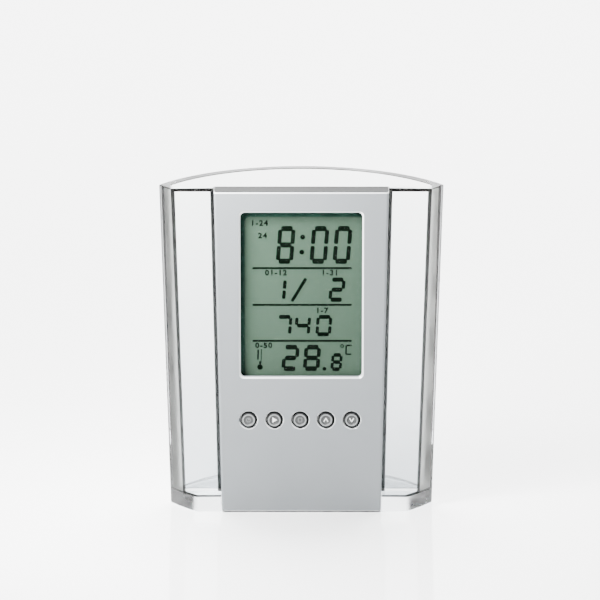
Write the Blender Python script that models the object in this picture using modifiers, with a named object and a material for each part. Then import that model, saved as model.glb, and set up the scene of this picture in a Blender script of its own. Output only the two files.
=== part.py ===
"""Pen holder clock: a clear moulded cup with a flat front, and a silver clock module that slides into it.

Axes: X to the right, Y away from the viewer, Z up. Lengths are in metres. The origin lies on the ground,
at the middle of the whole object's width and depth. The cup's plan is a lens of two arcs that meet in
points at its widest line. Depths in the clock module are counted from its front face, towards the back.
"""

import math

import bmesh
import bpy

# Shared clearances
FIT_GAP = 0.0003
CUT_OVERRUN = 0.002
JOIN_OVERLAP = 0.0004
WELD_DISTANCE = 0.000001

# Facets of round shapes
LENS_BACK_STEPS = 36
LENS_FRONT_STEPS = 5
CORNER_STEPS = 4
ROUND_STEPS = 32
SMALL_ROUND_STEPS = 20

# Cup
RIM_HALF_WIDTH = 0.0448
BASE_HALF_WIDTH = 0.0418
RIM_BACK_DEPTH = 0.0246
CUP_WALL = 0.0031
FRONT_WALL_FACE = 0.0056
SLAB_HEIGHT = 0.0055
SLAB_SET_BACK = 0.0003
LIP_THICKNESS = 0.0018
LIP_WIDTH = 0.0017

# Front bezel of the clock module
PANEL_STAND_OUT = 0.0048
TOP_SIDE_BORDER = 0.00825
FOOT_SIDE_BORDER = 0.00615
WINDOW_WIDTH = 0.0383
WINDOW_HEIGHT = 0.0536
WINDOW_TOP_MARGIN = 0.0066
WINDOW_CORNER = 0.0014
WINDOW_CHAMFER = 0.0005
PLATE_THICKNESS = 0.0018
BEZEL_WALL = 0.0018
BEZEL_TOP_WALL = 0.002
BEZEL_EDGE_ROUND = 0.0006
TOP_WALL_REACH = 0.0006

# Push buttons and the switches behind them
BUTTON_NAMES = ("mode", "set", "alarm", "up", "down")
BUTTON_ROW_SHIFT = -0.0004
BUTTON_HOLE_RADIUS = 0.0028
BUTTON_RADIUS = 0.0025
BUTTON_CROWN = 0.0004
BUTTON_PROUD = 0.0003
DISH_RADIUS = 0.0015
DISH_SLOPE = 0.0002
DISH_DEPTH = 0.00025
BUTTON_FLANGE_WIDTH = 0.001
BUTTON_FLANGE_THICKNESS = 0.0009
BUTTON_STEM_RADIUS = 0.0012
BUTTON_STEM_LENGTH = 0.0008
BUTTON_TRAVEL = 0.0005
PLUNGER_RADIUS = 0.0009
PLUNGER_SHOWS = 0.0006
PLUNGER_HIDDEN = 0.0004
PLUNGER_ROOM = 0.0001
SWITCH_SIDE = 0.0046

# Display stack
LENS_THICKNESS = 0.0008
LCD_MARGIN = 0.0023
LCD_THICKNESS = 0.002
REFLECTOR_THICKNESS = 0.0003
STRIP_THICKNESS = 0.0009
STRIP_HEIGHT = 0.002
FRAME_EDGE = 0.002

# Circuit board and what it carries
BOARD_THICKNESS = 0.0012
BOARD_BELOW_BUTTONS = 0.0057
COMPONENT_ROOM = 0.002
BLOB_RADIUS = 0.0045
BLOB_HEIGHT = 0.0013
BLOB_SHOULDER_RADIUS = 0.0036
BLOB_SHOULDER_HEIGHT = 0.0008
BLOB_CROWN_RADIUS = 0.0018
CRYSTAL_RADIUS = 0.00075
CRYSTAL_LENGTH = 0.0051
SENSOR_RADIUS = 0.0008
SENSOR_LENGTH = 0.0016
SENSOR_ROUND = 0.0004
SENSOR_FROM_BUZZER = 0.008
BUZZER_RADIUS = 0.008
BUZZER_THICKNESS = 0.0005

# Rear cover
REAR_INSET = 0.0006
REAR_WALL = 0.0014
VENT_WIDTH = 0.009
VENT_HEIGHT = 0.001
VENT_COUNT = 3
VENT_PITCH = 0.0026

# Button cells and their compartment
CELL_RADIUS = 0.0058
CELL_THICKNESS = 0.0054
CONTACT_THICKNESS = 0.0003
CONTACT_WIDTH = 0.005
TRAY_WALL = 0.0012
TRAY_FLOOR = 0.001
TRAY_TO_BOARD = 0.0039

# Battery door and its track
TRACK_FLOOR = 0.0008
DOOR_COVER = 0.0008
TONGUE_WIDTH = 0.0008
TONGUE_THICKNESS = 0.0003
TRACK_LIP = 0.0005
DOOR_TRAVEL = 0.0135
GRIP_WIDTH = 0.012
GRIP_HEIGHT = 0.0006
GRIP_DEPTH = 0.0003
GRIP_COUNT = 3
GRIP_PITCH = 0.0015

# Case screws and the bosses that they hold
SCREW_RADIUS = 0.0008
SCREW_HEAD_RADIUS = 0.0017
SCREW_HEAD_HEIGHT = 0.0012
SCREW_SUNK = 0.0002
SCREW_BITE = 0.002
CROSS_LENGTH = 0.0018
CROSS_WIDTH = 0.0004
CROSS_DEPTH = 0.0005
BOSS_WALL = 0.0009
BOSS_SPACE = 0.0008
LOWER_BOSS_RISE = 0.0045

# Height of the window above the middle of the buttons
BUTTONS_TO_WINDOW = 0.0141

# Depths in the module, from its front face
LENS_FRONT = PLATE_THICKNESS + FIT_GAP
LENS_BACK = LENS_FRONT + LENS_THICKNESS
LCD_FRONT = LENS_BACK + FIT_GAP
LCD_BACK = LCD_FRONT + LCD_THICKNESS
STRIP_FRONT = LCD_BACK + FIT_GAP
STRIP_BACK = STRIP_FRONT + STRIP_THICKNESS
BOARD_FRONT = STRIP_BACK + FIT_GAP
BOARD_BACK = BOARD_FRONT + BOARD_THICKNESS
COMPONENT_FRONT = BOARD_BACK + FIT_GAP
REAR_INSIDE = COMPONENT_FRONT + COMPONENT_ROOM
TRACK_FRONT = REAR_INSIDE + TRACK_FLOOR
DOOR_FRONT = TRACK_FRONT + FIT_GAP
GROOVE_BACK = DOOR_FRONT + TONGUE_THICKNESS + FIT_GAP
REAR_BACK = GROOVE_BACK + TRACK_LIP
DOOR_BACK = REAR_BACK - FIT_GAP
WALL_INSIDE = PANEL_STAND_OUT + CUP_WALL
LIP_FRONT = WALL_INSIDE - LIP_THICKNESS
BEZEL_BACK = LIP_FRONT - FIT_GAP
TOP_WALL_BACK = BEZEL_BACK + TOP_WALL_REACH
REAR_BODY_FRONT = WALL_INSIDE + FIT_GAP
CELL_BACK = REAR_INSIDE
CELL_FRONT = CELL_BACK - CELL_THICKNESS
CONTACT_FRONT = CELL_FRONT - FIT_GAP - CONTACT_THICKNESS
TRAY_FRONT = CONTACT_FRONT - FIT_GAP - TRAY_FLOOR

# Sideways places in the module: the row of buttons is as wide as the window
BUTTON_PITCH = (WINDOW_WIDTH - 2 * BUTTON_HOLE_RADIUS) / (len(BUTTON_NAMES) - 1)
BETWEEN_CELLS = CONTACT_THICKNESS + 2 * FIT_GAP
CELL_X = CELL_RADIUS + BETWEEN_CELLS / 2
POCKET_HALF_WIDTH = CELL_X + CELL_RADIUS + CONTACT_THICKNESS + 2 * FIT_GAP
TRAY_HALF_WIDTH = POCKET_HALF_WIDTH + TRAY_WALL
DOOR_HALF_WIDTH = POCKET_HALF_WIDTH + DOOR_COVER
TONGUE_HALF_WIDTH = DOOR_HALF_WIDTH + TONGUE_WIDTH
GROOVE_HALF_WIDTH = TONGUE_HALF_WIDTH + FIT_GAP
SCREW_HOLE_RADIUS = SCREW_RADIUS + FIT_GAP
HEAD_HOLE_RADIUS = SCREW_HEAD_RADIUS + FIT_GAP
BOSS_RADIUS = SCREW_HOLE_RADIUS + BOSS_WALL
BOSS_X = GROOVE_HALF_WIDTH + HEAD_HOLE_RADIUS + BOSS_SPACE
CORE_INSET = max(BEZEL_WALL, LIP_WIDTH) + FIT_GAP
HOLLOW_INSET = CORE_INSET + REAR_WALL
BOARD_INSET = HOLLOW_INSET + FIT_GAP

# Heights, from the ground up
MODULE_FOOT = FIT_GAP
REAR_FOOT = SLAB_HEIGHT + FIT_GAP
TRACK_FOOT = REAR_FOOT + TRACK_FLOOR
DOOR_FOOT = TRACK_FOOT + FIT_GAP
POCKET_FOOT = DOOR_FOOT + DOOR_COVER
CELL_Z = POCKET_FOOT + FIT_GAP + CELL_RADIUS
POCKET_TOP = CELL_Z + CELL_RADIUS + FIT_GAP
DOOR_TOP = POCKET_TOP + DOOR_COVER
TRACK_TOP = DOOR_TOP + DOOR_TRAVEL + FIT_GAP
LOWER_BOSS_Z = REAR_FOOT + LOWER_BOSS_RISE
BOARD_FOOT = POCKET_TOP + TRAY_WALL + TRAY_TO_BOARD
BUTTON_Z = BOARD_FOOT + BOARD_BELOW_BUTTONS
WINDOW_FOOT = BUTTON_Z + BUTTONS_TO_WINDOW
WINDOW_Z = WINDOW_FOOT + WINDOW_HEIGHT / 2
CUP_HEIGHT = WINDOW_FOOT + WINDOW_HEIGHT + WINDOW_TOP_MARGIN
LIP_TOP = CUP_HEIGHT - BEZEL_TOP_WALL - FIT_GAP
LCD_WIDTH = WINDOW_WIDTH + 2 * LCD_MARGIN
LCD_HEIGHT = WINDOW_HEIGHT + 2 * LCD_MARGIN
LCD_FOOT = WINDOW_Z - LCD_HEIGHT / 2
LCD_TOP = WINDOW_Z + LCD_HEIGHT / 2
FRAME_FOOT = LCD_FOOT - FIT_GAP - FRAME_EDGE
UPPER_BOSS_Z = FRAME_FOOT - BOSS_SPACE - BOSS_RADIUS
BOARD_TOP = LIP_TOP - REAR_WALL - FIT_GAP

# The panel's sides lean outwards, and the whole object is centred over the origin
PANEL_FOOT_HALF_WIDTH = WINDOW_WIDTH / 2 + FOOT_SIDE_BORDER
PANEL_TOP_HALF_WIDTH = WINDOW_WIDTH / 2 + TOP_SIDE_BORDER
PANEL_FACE = FRONT_WALL_FACE + PANEL_STAND_OUT
SLAB_FACE = PANEL_FACE - SLAB_SET_BACK
WIDEST_LINE_Y = (PANEL_FACE + BUTTON_PROUD - RIM_BACK_DEPTH) / 2
PANEL_Y = WIDEST_LINE_Y - PANEL_FACE

# Finishes: colour, roughness, metallic value and alpha
CLEAR = ((0.93, 0.95, 0.95), 0.05, 0.0, 0.3)
SILVER = ((0.62, 0.64, 0.65), 0.45, 0.3, 1.0)
PANE = ((0.9, 0.95, 0.93), 0.05, 0.0, 0.3)
DISPLAY = ((0.3, 0.36, 0.3), 0.3, 0.0, 1.0)
FOIL = ((0.7, 0.72, 0.7), 0.35, 0.6, 1.0)
WHITE_PLASTIC = ((0.8, 0.8, 0.78), 0.5, 0.0, 1.0)
GREY_PLASTIC = ((0.5, 0.52, 0.53), 0.5, 0.0, 1.0)
DARK_RUBBER = ((0.03, 0.03, 0.03), 0.8, 0.0, 1.0)
BOARD_GREEN = ((0.02, 0.16, 0.06), 0.45, 0.0, 1.0)
BLACK_RESIN = ((0.01, 0.01, 0.01), 0.3, 0.0, 1.0)
STEEL = ((0.6, 0.6, 0.6), 0.3, 1.0, 1.0)
BRASS = ((0.75, 0.6, 0.3), 0.35, 1.0, 1.0)


def clear_scene():
    for old in list(bpy.data.objects):
        bpy.data.objects.remove(old, do_unlink=True)


def make_collection(name):
    group = bpy.data.collections.new(name)
    bpy.context.scene.collection.children.link(group)
    return group


def add_finish(piece, look):
    """Gives a piece a material of its own."""
    colour, roughness, metallic, alpha = look
    material = bpy.data.materials.new(piece.name)
    material.use_nodes = True
    shader = material.node_tree.nodes["Principled BSDF"]
    shader.inputs["Base Color"].default_value = (*colour, 1)
    shader.inputs["Roughness"].default_value = roughness
    shader.inputs["Metallic"].default_value = metallic
    shader.inputs["Alpha"].default_value = alpha
    piece.data.materials.clear()
    piece.data.materials.append(material)


def place(piece, group, parent=None):
    """Keeps a piece in one collection only, under its parent."""
    for held in list(piece.users_collection):
        held.objects.unlink(piece)
    group.objects.link(piece)
    piece.parent = parent
    return piece


def cut(target, cutter):
    """Takes the cutter's shape out of the target, and keeps the cutter as a wire guide."""
    boolean = target.modifiers.new("cut_" + cutter.name, "BOOLEAN")
    boolean.operation = "DIFFERENCE"
    boolean.solver = "EXACT"
    boolean.object = cutter
    place(cutter, cutters, cutter.parent)
    cutter.hide_render = True
    cutter.display_type = "WIRE"


def join(target, added):
    """Joins a shape to the target, and keeps the shape as a wire guide."""
    cut(target, added)
    target.modifiers[-1].operation = "UNION"


def panel_half_width(height):
    share = height / CUP_HEIGHT
    return PANEL_FOOT_HALF_WIDTH + (PANEL_TOP_HALF_WIDTH - PANEL_FOOT_HALF_WIDTH) * share


def panel_outline(low, high, inset):
    """The leaning outline of the panel, drawn in by inset at its sides."""
    foot = panel_half_width(low) - inset
    top = panel_half_width(high) - inset
    return [(-foot, low), (foot, low), (top, high), (-top, high)]


def rectangle(half_width, low, high, middle=0.0):
    left, right = middle - half_width, middle + half_width
    return [(left, low), (right, low), (right, high), (left, high)]


def rounded_rectangle(width, height, middle_z, corner):
    """A rectangle about X = 0 with round corners."""
    points = []
    for quarter, (side, end) in enumerate(((1, 1), (-1, 1), (-1, -1), (1, -1))):
        for step in range(CORNER_STEPS + 1):
            angle = math.radians(90) * (quarter + step / CORNER_STEPS)
            x = side * (width / 2 - corner) + corner * math.cos(angle)
            z = middle_z + end * (height / 2 - corner) + corner * math.sin(angle)
            points.append((x, z))
    return points


def plate(name, outline, front, back, parent):
    """A flat outline in X and Z, from the depth front to the depth back."""
    curve = bpy.data.curves.new(name, "CURVE")
    curve.dimensions = "2D"
    curve.fill_mode = "BOTH"
    curve.extrude = (back - front) / 2
    spline = curve.splines.new("POLY")
    spline.points.add(len(outline) - 1)
    for point, (x, z) in zip(spline.points, outline):
        point.co = (x, z, 0, 1)
    spline.use_cyclic_u = True
    flat = bpy.data.objects.new(name + "_outline", curve)
    parts.objects.link(flat)
    mesh = bpy.data.meshes.new_from_object(flat.evaluated_get(bpy.context.evaluated_depsgraph_get()))
    bpy.data.objects.remove(flat, do_unlink=True)
    mesh.name = name
    shape = bmesh.new()
    shape.from_mesh(mesh)
    bmesh.ops.remove_doubles(shape, verts=shape.verts, dist=WELD_DISTANCE)
    bmesh.ops.dissolve_limit(shape, angle_limit=math.radians(1), verts=shape.verts, edges=shape.edges)
    bmesh.ops.recalc_face_normals(shape, faces=shape.faces)
    shape.to_mesh(mesh)
    shape.free()
    piece = bpy.data.objects.new(name, mesh)
    piece.location = (0, (front + back) / 2, 0)
    piece.rotation_euler = (math.radians(90), 0, 0)
    return place(piece, parts, parent)


def rod(name, radius, x, z, front, back, parent, steps=SMALL_ROUND_STEPS):
    """A cylinder along Y."""
    bpy.ops.mesh.primitive_cylinder_add(
        vertices=steps,
        radius=radius,
        depth=back - front,
        location=(x, (front + back) / 2, z),
        rotation=(math.radians(90), 0, 0),
    )
    piece = bpy.context.active_object
    piece.name = name
    return place(piece, parts, parent)


def turned(name, stations, x, z, parent, steps=SMALL_ROUND_STEPS):
    """A body turned about Y, from pairs of depth and radius that run from front to back."""
    mesh = bpy.data.meshes.new(name)
    shape = bmesh.new()
    profile = [(stations[0][0], 0)] + list(stations) + [(stations[-1][0], 0)]
    points = [shape.verts.new((radius, 0, depth)) for depth, radius in reversed(profile)]
    for start, end in zip(points, points[1:]):
        shape.edges.new((start, end))
    shape.to_mesh(mesh)
    shape.free()
    piece = bpy.data.objects.new(name, mesh)
    piece.location = (x, 0, z)
    piece.rotation_euler = (math.radians(-90), 0, 0)
    screw = piece.modifiers.new("turn", "SCREW")
    screw.axis = "Z"
    screw.steps = steps
    screw.render_steps = steps
    screw.use_merge_vertices = True
    screw.merge_threshold = WELD_DISTANCE
    return place(piece, parts, parent)


def loft(name, loops, parent=None):
    """A solid between closed loops with the same number of points."""
    mesh = bpy.data.meshes.new(name)
    shape = bmesh.new()
    rings = [[shape.verts.new(point) for point in loop] for loop in loops]
    edges = []
    for ring in rings:
        edges.append([shape.edges.new((ring[i - 1], ring[i])) for i in range(len(ring))])
    for low, high in zip(edges, edges[1:]):
        bmesh.ops.bridge_loops(shape, edges=low + high)
    shape.faces.new(rings[0])
    shape.faces.new(rings[-1])
    bmesh.ops.recalc_face_normals(shape, faces=shape.faces)
    shape.to_mesh(mesh)
    shape.free()
    piece = bpy.data.objects.new(name, mesh)
    return place(piece, parts, parent)


def box(name, half_width, low, high, front, back, parent, middle=0.0):
    return plate(name, rectangle(half_width, low, high, middle), front, back, parent)


def arc(radius, centre, first, last, steps, facing):
    """Points of one of the lens's two arcs, by their angles from the middle of the arc."""
    points = []
    for step in range(steps + 1):
        angle = first + (last - first) * step / steps
        points.append((radius * math.sin(angle), facing * (radius * math.cos(angle) - centre)))
    return points


def lens_section(height, inset, front):
    """The cup's plan at a height: two arcs that meet in points, cut flat at front."""
    half_width = BASE_HALF_WIDTH + (RIM_HALF_WIDTH - BASE_HALF_WIDTH) * height / CUP_HEIGHT
    back_depth = half_width * RIM_BACK_DEPTH / RIM_HALF_WIDTH
    radius = (half_width**2 + back_depth**2) / (2 * back_depth)
    centre = radius - back_depth
    radius -= inset
    tip = math.acos(centre / radius)
    corner = math.acos((centre + front) / radius)
    points = arc(radius, centre, tip, -tip, LENS_BACK_STEPS, 1)
    points += arc(radius, centre, -tip, -corner, LENS_FRONT_STEPS, -1)[1:]
    points += arc(radius, centre, corner, tip, LENS_FRONT_STEPS, -1)[:-1]
    return [(x, WIDEST_LINE_Y + y, height) for x, y in points]


def make_cup():
    """The clear cup: lens walls on a thick slab, with a rebated slot in its flat front wall."""
    above = CUP_HEIGHT + CUT_OVERRUN
    cup = loft("pen_cup", [lens_section(0, 0, SLAB_FACE), lens_section(CUP_HEIGHT, 0, SLAB_FACE)])
    front_clear = -CUT_OVERRUN
    ledge = box("cup_ledge", RIM_HALF_WIDTH, SLAB_HEIGHT, above, front_clear, PANEL_STAND_OUT, module)
    cut(cup, ledge)
    inside = FRONT_WALL_FACE - CUP_WALL
    hollow = loft(
        "cup_hollow",
        [lens_section(SLAB_HEIGHT, CUP_WALL, inside), lens_section(above, CUP_WALL, inside)],
    )
    cut(cup, hollow)
    seat = panel_outline(-CUT_OVERRUN, above, -FIT_GAP)
    cut(cup, plate("cup_seat", seat, front_clear, LIP_FRONT, module))
    through = WALL_INSIDE + CUT_OVERRUN
    slot = panel_outline(SLAB_HEIGHT, above, LIP_WIDTH)
    cut(cup, plate("cup_slot", slot, front_clear, through, module))
    notch = panel_outline(LIP_TOP, above, -FIT_GAP)
    cut(cup, plate("cup_notch", notch, front_clear, through, module))
    add_finish(cup, CLEAR)


def window_loop(depth, growth):
    width = WINDOW_WIDTH + 2 * growth
    height = WINDOW_HEIGHT + 2 * growth
    outline = rounded_rectangle(width, height, WINDOW_Z, WINDOW_CORNER + growth)
    return [(x, depth, z) for x, z in outline]


def boss_places():
    return [(side * BOSS_X, z) for z in (LOWER_BOSS_Z, UPPER_BOSS_Z) for side in (-1, 1)]


def make_bezel():
    """The silver front shell, with its window, button holes and screw bosses."""
    bezel = plate("front_bezel", panel_outline(MODULE_FOOT, CUP_HEIGHT, 0), 0, TOP_WALL_BACK, module)
    bevel = bezel.modifiers.new("edges", "BEVEL")
    bevel.width = BEZEL_EDGE_ROUND
    bevel.segments = 2
    hollow = panel_outline(MODULE_FOOT + BEZEL_WALL, CUP_HEIGHT - BEZEL_TOP_WALL, BEZEL_WALL)
    behind = TOP_WALL_BACK + CUT_OVERRUN
    cut(bezel, plate("bezel_hollow", hollow, PLATE_THICKNESS, behind, module))
    shoulder = rectangle(PANEL_TOP_HALF_WIDTH + CUT_OVERRUN, -CUT_OVERRUN, CUP_HEIGHT - BEZEL_TOP_WALL)
    cut(bezel, plate("bezel_shoulder", shoulder, BEZEL_BACK, behind, module))
    window = [
        window_loop(-CUT_OVERRUN, WINDOW_CHAMFER + CUT_OVERRUN),
        window_loop(WINDOW_CHAMFER, 0),
        window_loop(PLATE_THICKNESS + CUT_OVERRUN, 0),
    ]
    cut(bezel, loft("bezel_window", window, module))
    through = PLATE_THICKNESS + CUT_OVERRUN
    for name, x in button_places():
        hole_name = "bezel_hole_" + name
        hole = rod(hole_name, BUTTON_HOLE_RADIUS, x, BUTTON_Z, -CUT_OVERRUN, through, module, ROUND_STEPS)
        cut(bezel, hole)
    for number, (x, z) in enumerate(boss_places(), 1):
        start = PLATE_THICKNESS - JOIN_OVERLAP
        boss = rod("bezel_boss_%d" % number, BOSS_RADIUS, x, z, start, STRIP_BACK, module)
        join(bezel, boss)
        pilot = rod("bezel_pilot_%d" % number, SCREW_HOLE_RADIUS, x, z, LCD_FRONT, behind, module)
        cut(bezel, pilot)
    add_finish(bezel, SILVER)


def make_display():
    """The pane, the liquid crystal cell, its foil, its frame and its two contact strips."""
    half_width = LCD_WIDTH / 2
    pane = box("window_lens", half_width, LCD_FOOT, LCD_TOP, LENS_FRONT, LENS_BACK, module)
    add_finish(pane, PANE)
    cell = box("lcd_glass", half_width, LCD_FOOT, LCD_TOP, LCD_FRONT, LCD_BACK, module)
    add_finish(cell, DISPLAY)
    foil_low = LCD_FOOT + STRIP_HEIGHT + 2 * FIT_GAP
    foil_high = LCD_TOP - STRIP_HEIGHT - 2 * FIT_GAP
    foil_back = STRIP_FRONT + REFLECTOR_THICKNESS
    foil = box("lcd_reflector", half_width, foil_low, foil_high, STRIP_FRONT, foil_back, module)
    add_finish(foil, FOIL)
    strips = {
        "zebra_strip_lower": LCD_FOOT + FIT_GAP,
        "zebra_strip_upper": LCD_TOP - FIT_GAP - STRIP_HEIGHT,
    }
    for name, low in strips.items():
        high = low + STRIP_HEIGHT
        strip = box(name, WINDOW_WIDTH / 2, low, high, STRIP_FRONT, STRIP_BACK, module)
        add_finish(strip, DARK_RUBBER)
    outline = panel_outline(FRAME_FOOT, LIP_TOP, CORE_INSET)
    frame = plate("lcd_frame", outline, LENS_FRONT, STRIP_BACK, module)
    opening = rectangle(half_width + FIT_GAP, LCD_FOOT - FIT_GAP, LCD_TOP + FIT_GAP)
    front, back = LENS_FRONT - CUT_OVERRUN, STRIP_BACK + CUT_OVERRUN
    cut(frame, plate("frame_opening", opening, front, back, module))
    add_finish(frame, WHITE_PLASTIC)


def button_places():
    first = BUTTON_ROW_SHIFT - BUTTON_PITCH * (len(BUTTON_NAMES) - 1) / 2
    return [(name, first + number * BUTTON_PITCH) for number, name in enumerate(BUTTON_NAMES)]


def make_buttons():
    """Each button has a dished cap, a flange that keeps it in, a plunger and a switch."""
    flange_front = PLATE_THICKNESS + FIT_GAP
    flange_back = flange_front + BUTTON_FLANGE_THICKNESS
    stem_back = flange_back + BUTTON_STEM_LENGTH
    plunger_front = stem_back + FIT_GAP
    switch_front = plunger_front + PLUNGER_SHOWS
    plunger_back = switch_front + PLUNGER_HIDDEN
    bore_back = plunger_back + BUTTON_TRAVEL + PLUNGER_ROOM
    flange_radius = BUTTON_RADIUS + BUTTON_FLANGE_WIDTH
    for name, x in button_places():
        stations = [
            (DISH_DEPTH - BUTTON_PROUD, DISH_RADIUS),
            (-BUTTON_PROUD, DISH_RADIUS + DISH_SLOPE),
            (-BUTTON_PROUD, BUTTON_RADIUS - BUTTON_CROWN),
            (BUTTON_CROWN - BUTTON_PROUD, BUTTON_RADIUS),
            (flange_front, BUTTON_RADIUS),
            (flange_front, flange_radius),
            (flange_back, flange_radius),
            (flange_back, BUTTON_STEM_RADIUS),
            (stem_back, BUTTON_STEM_RADIUS),
        ]
        cap = turned("button_" + name, stations, x, BUTTON_Z, module, ROUND_STEPS)
        add_finish(cap, GREY_PLASTIC)
        pin = [(plunger_front, PLUNGER_RADIUS), (plunger_back, PLUNGER_RADIUS)]
        add_finish(turned("switch_plunger_" + name, pin, x, BUTTON_Z, module), BLACK_RESIN)
        low, high = BUTTON_Z - SWITCH_SIDE / 2, BUTTON_Z + SWITCH_SIDE / 2
        base = box("tact_switch_" + name, SWITCH_SIDE / 2, low, high, switch_front, STRIP_BACK, module, x)
        bore_front = switch_front - CUT_OVERRUN
        bore = rod("bore_" + name, PLUNGER_RADIUS + FIT_GAP, x, BUTTON_Z, bore_front, bore_back, module)
        cut(base, bore)
        add_finish(base, STEEL)


def make_board():
    """The circuit board, drilled for the two upper screws, with the parts on its back."""
    outline = panel_outline(BOARD_FOOT, BOARD_TOP, BOARD_INSET)
    board = plate("circuit_board", outline, BOARD_FRONT, BOARD_BACK, module)
    front, back = BOARD_FRONT - CUT_OVERRUN, BOARD_BACK + CUT_OVERRUN
    for side in (-1, 1):
        x = side * BOSS_X
        cut(board, rod("board_hole_%d" % side, SCREW_HOLE_RADIUS, x, UPPER_BOSS_Z, front, back, module))
    add_finish(board, BOARD_GREEN)
    dome = [
        (COMPONENT_FRONT, BLOB_RADIUS),
        (COMPONENT_FRONT + BLOB_SHOULDER_HEIGHT, BLOB_SHOULDER_RADIUS),
        (COMPONENT_FRONT + BLOB_HEIGHT, BLOB_CROWN_RADIUS),
    ]
    add_finish(turned("chip_blob", dome, 0, WINDOW_Z - BLOB_RADIUS, module), BLACK_RESIN)
    bpy.ops.mesh.primitive_cylinder_add(
        vertices=SMALL_ROUND_STEPS,
        radius=CRYSTAL_RADIUS,
        depth=CRYSTAL_LENGTH,
        location=(BUZZER_RADIUS, COMPONENT_FRONT + CRYSTAL_RADIUS, WINDOW_Z),
        rotation=(0, math.radians(90), 0),
    )
    crystal = bpy.context.active_object
    crystal.name = "quartz_crystal"
    add_finish(place(crystal, parts, module), STEEL)
    bead_back = COMPONENT_FRONT + SENSOR_LENGTH
    bead = [
        (COMPONENT_FRONT, SENSOR_RADIUS - SENSOR_ROUND),
        (COMPONENT_FRONT + SENSOR_ROUND, SENSOR_RADIUS),
        (bead_back - SENSOR_ROUND, SENSOR_RADIUS),
        (bead_back, SENSOR_RADIUS - SENSOR_ROUND),
    ]
    sensor_x = BUZZER_RADIUS + SENSOR_FROM_BUZZER
    add_finish(turned("temperature_sensor", bead, sensor_x, vent_z(), module), BLACK_RESIN)
    disc_back = REAR_INSIDE - FIT_GAP
    disc = [(disc_back - BUZZER_THICKNESS, BUZZER_RADIUS), (disc_back, BUZZER_RADIUS)]
    add_finish(turned("piezo_buzzer", disc, 0, vent_z(), module, ROUND_STEPS), BRASS)


def vent_z():
    return LIP_TOP - REAR_WALL - FIT_GAP - BUZZER_RADIUS - VENT_PITCH


def make_rear_cover():
    """The back shell: a neck through the slot, a wider body behind the wall, and the cell tray."""
    outline = panel_outline(REAR_FOOT, LIP_TOP, REAR_INSET)
    cover = plate("rear_cover", outline, REAR_BODY_FRONT, REAR_BACK, module)
    neck_outline = panel_outline(REAR_FOOT, LIP_TOP, CORE_INSET)
    neck = plate("rear_neck", neck_outline, BOARD_FRONT, REAR_BODY_FRONT + JOIN_OVERLAP, module)
    join(cover, neck)
    hollow = panel_outline(REAR_FOOT + REAR_WALL, LIP_TOP - REAR_WALL, HOLLOW_INSET)
    ahead = BOARD_FRONT - CUT_OVERRUN
    cut(cover, plate("rear_hollow", hollow, ahead, REAR_INSIDE, module))
    tray_low, tray_high = POCKET_FOOT - TRAY_WALL, POCKET_TOP + TRAY_WALL
    tray_back = REAR_INSIDE + JOIN_OVERLAP
    join(cover, box("rear_tray", TRAY_HALF_WIDTH, tray_low, tray_high, TRAY_FRONT, tray_back, module))
    behind = REAR_BACK + CUT_OVERRUN
    for number, (x, z) in enumerate(boss_places(), 1):
        post_front = STRIP_BACK + FIT_GAP if z < BOARD_FOOT else COMPONENT_FRONT
        join(cover, rod("rear_post_%d" % number, BOSS_RADIUS, x, z, post_front, tray_back, module))
    track_half = DOOR_HALF_WIDTH + FIT_GAP
    cut(cover, box("rear_track", track_half, TRACK_FOOT, TRACK_TOP, TRACK_FRONT, behind, module))
    groove = rectangle(GROOVE_HALF_WIDTH, TRACK_FOOT, TRACK_TOP)
    cut(cover, plate("rear_groove", groove, TRACK_FRONT, GROOVE_BACK, module))
    pocket_front = TRAY_FRONT + TRAY_FLOOR
    pocket_back = TRACK_FRONT + JOIN_OVERLAP
    pocket = rectangle(POCKET_HALF_WIDTH, POCKET_FOOT, POCKET_TOP)
    cut(cover, plate("rear_pocket", pocket, pocket_front, pocket_back, module))
    head_seat = REAR_BACK - SCREW_SUNK - SCREW_HEAD_HEIGHT - FIT_GAP
    for number, (x, z) in enumerate(boss_places(), 1):
        cut(cover, rod("rear_hole_%d" % number, SCREW_HOLE_RADIUS, x, z, ahead, behind, module))
        cut(cover, rod("rear_head_%d" % number, HEAD_HOLE_RADIUS, x, z, head_seat, behind, module))
    for number in range(VENT_COUNT):
        middle = vent_z() + (number - (VENT_COUNT - 1) / 2) * VENT_PITCH
        low, high = middle - VENT_HEIGHT / 2, middle + VENT_HEIGHT / 2
        front = REAR_INSIDE - JOIN_OVERLAP
        cut(cover, box("rear_vent_%d" % number, VENT_WIDTH / 2, low, high, front, behind, module))
    add_finish(cover, GREY_PLASTIC)


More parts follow.
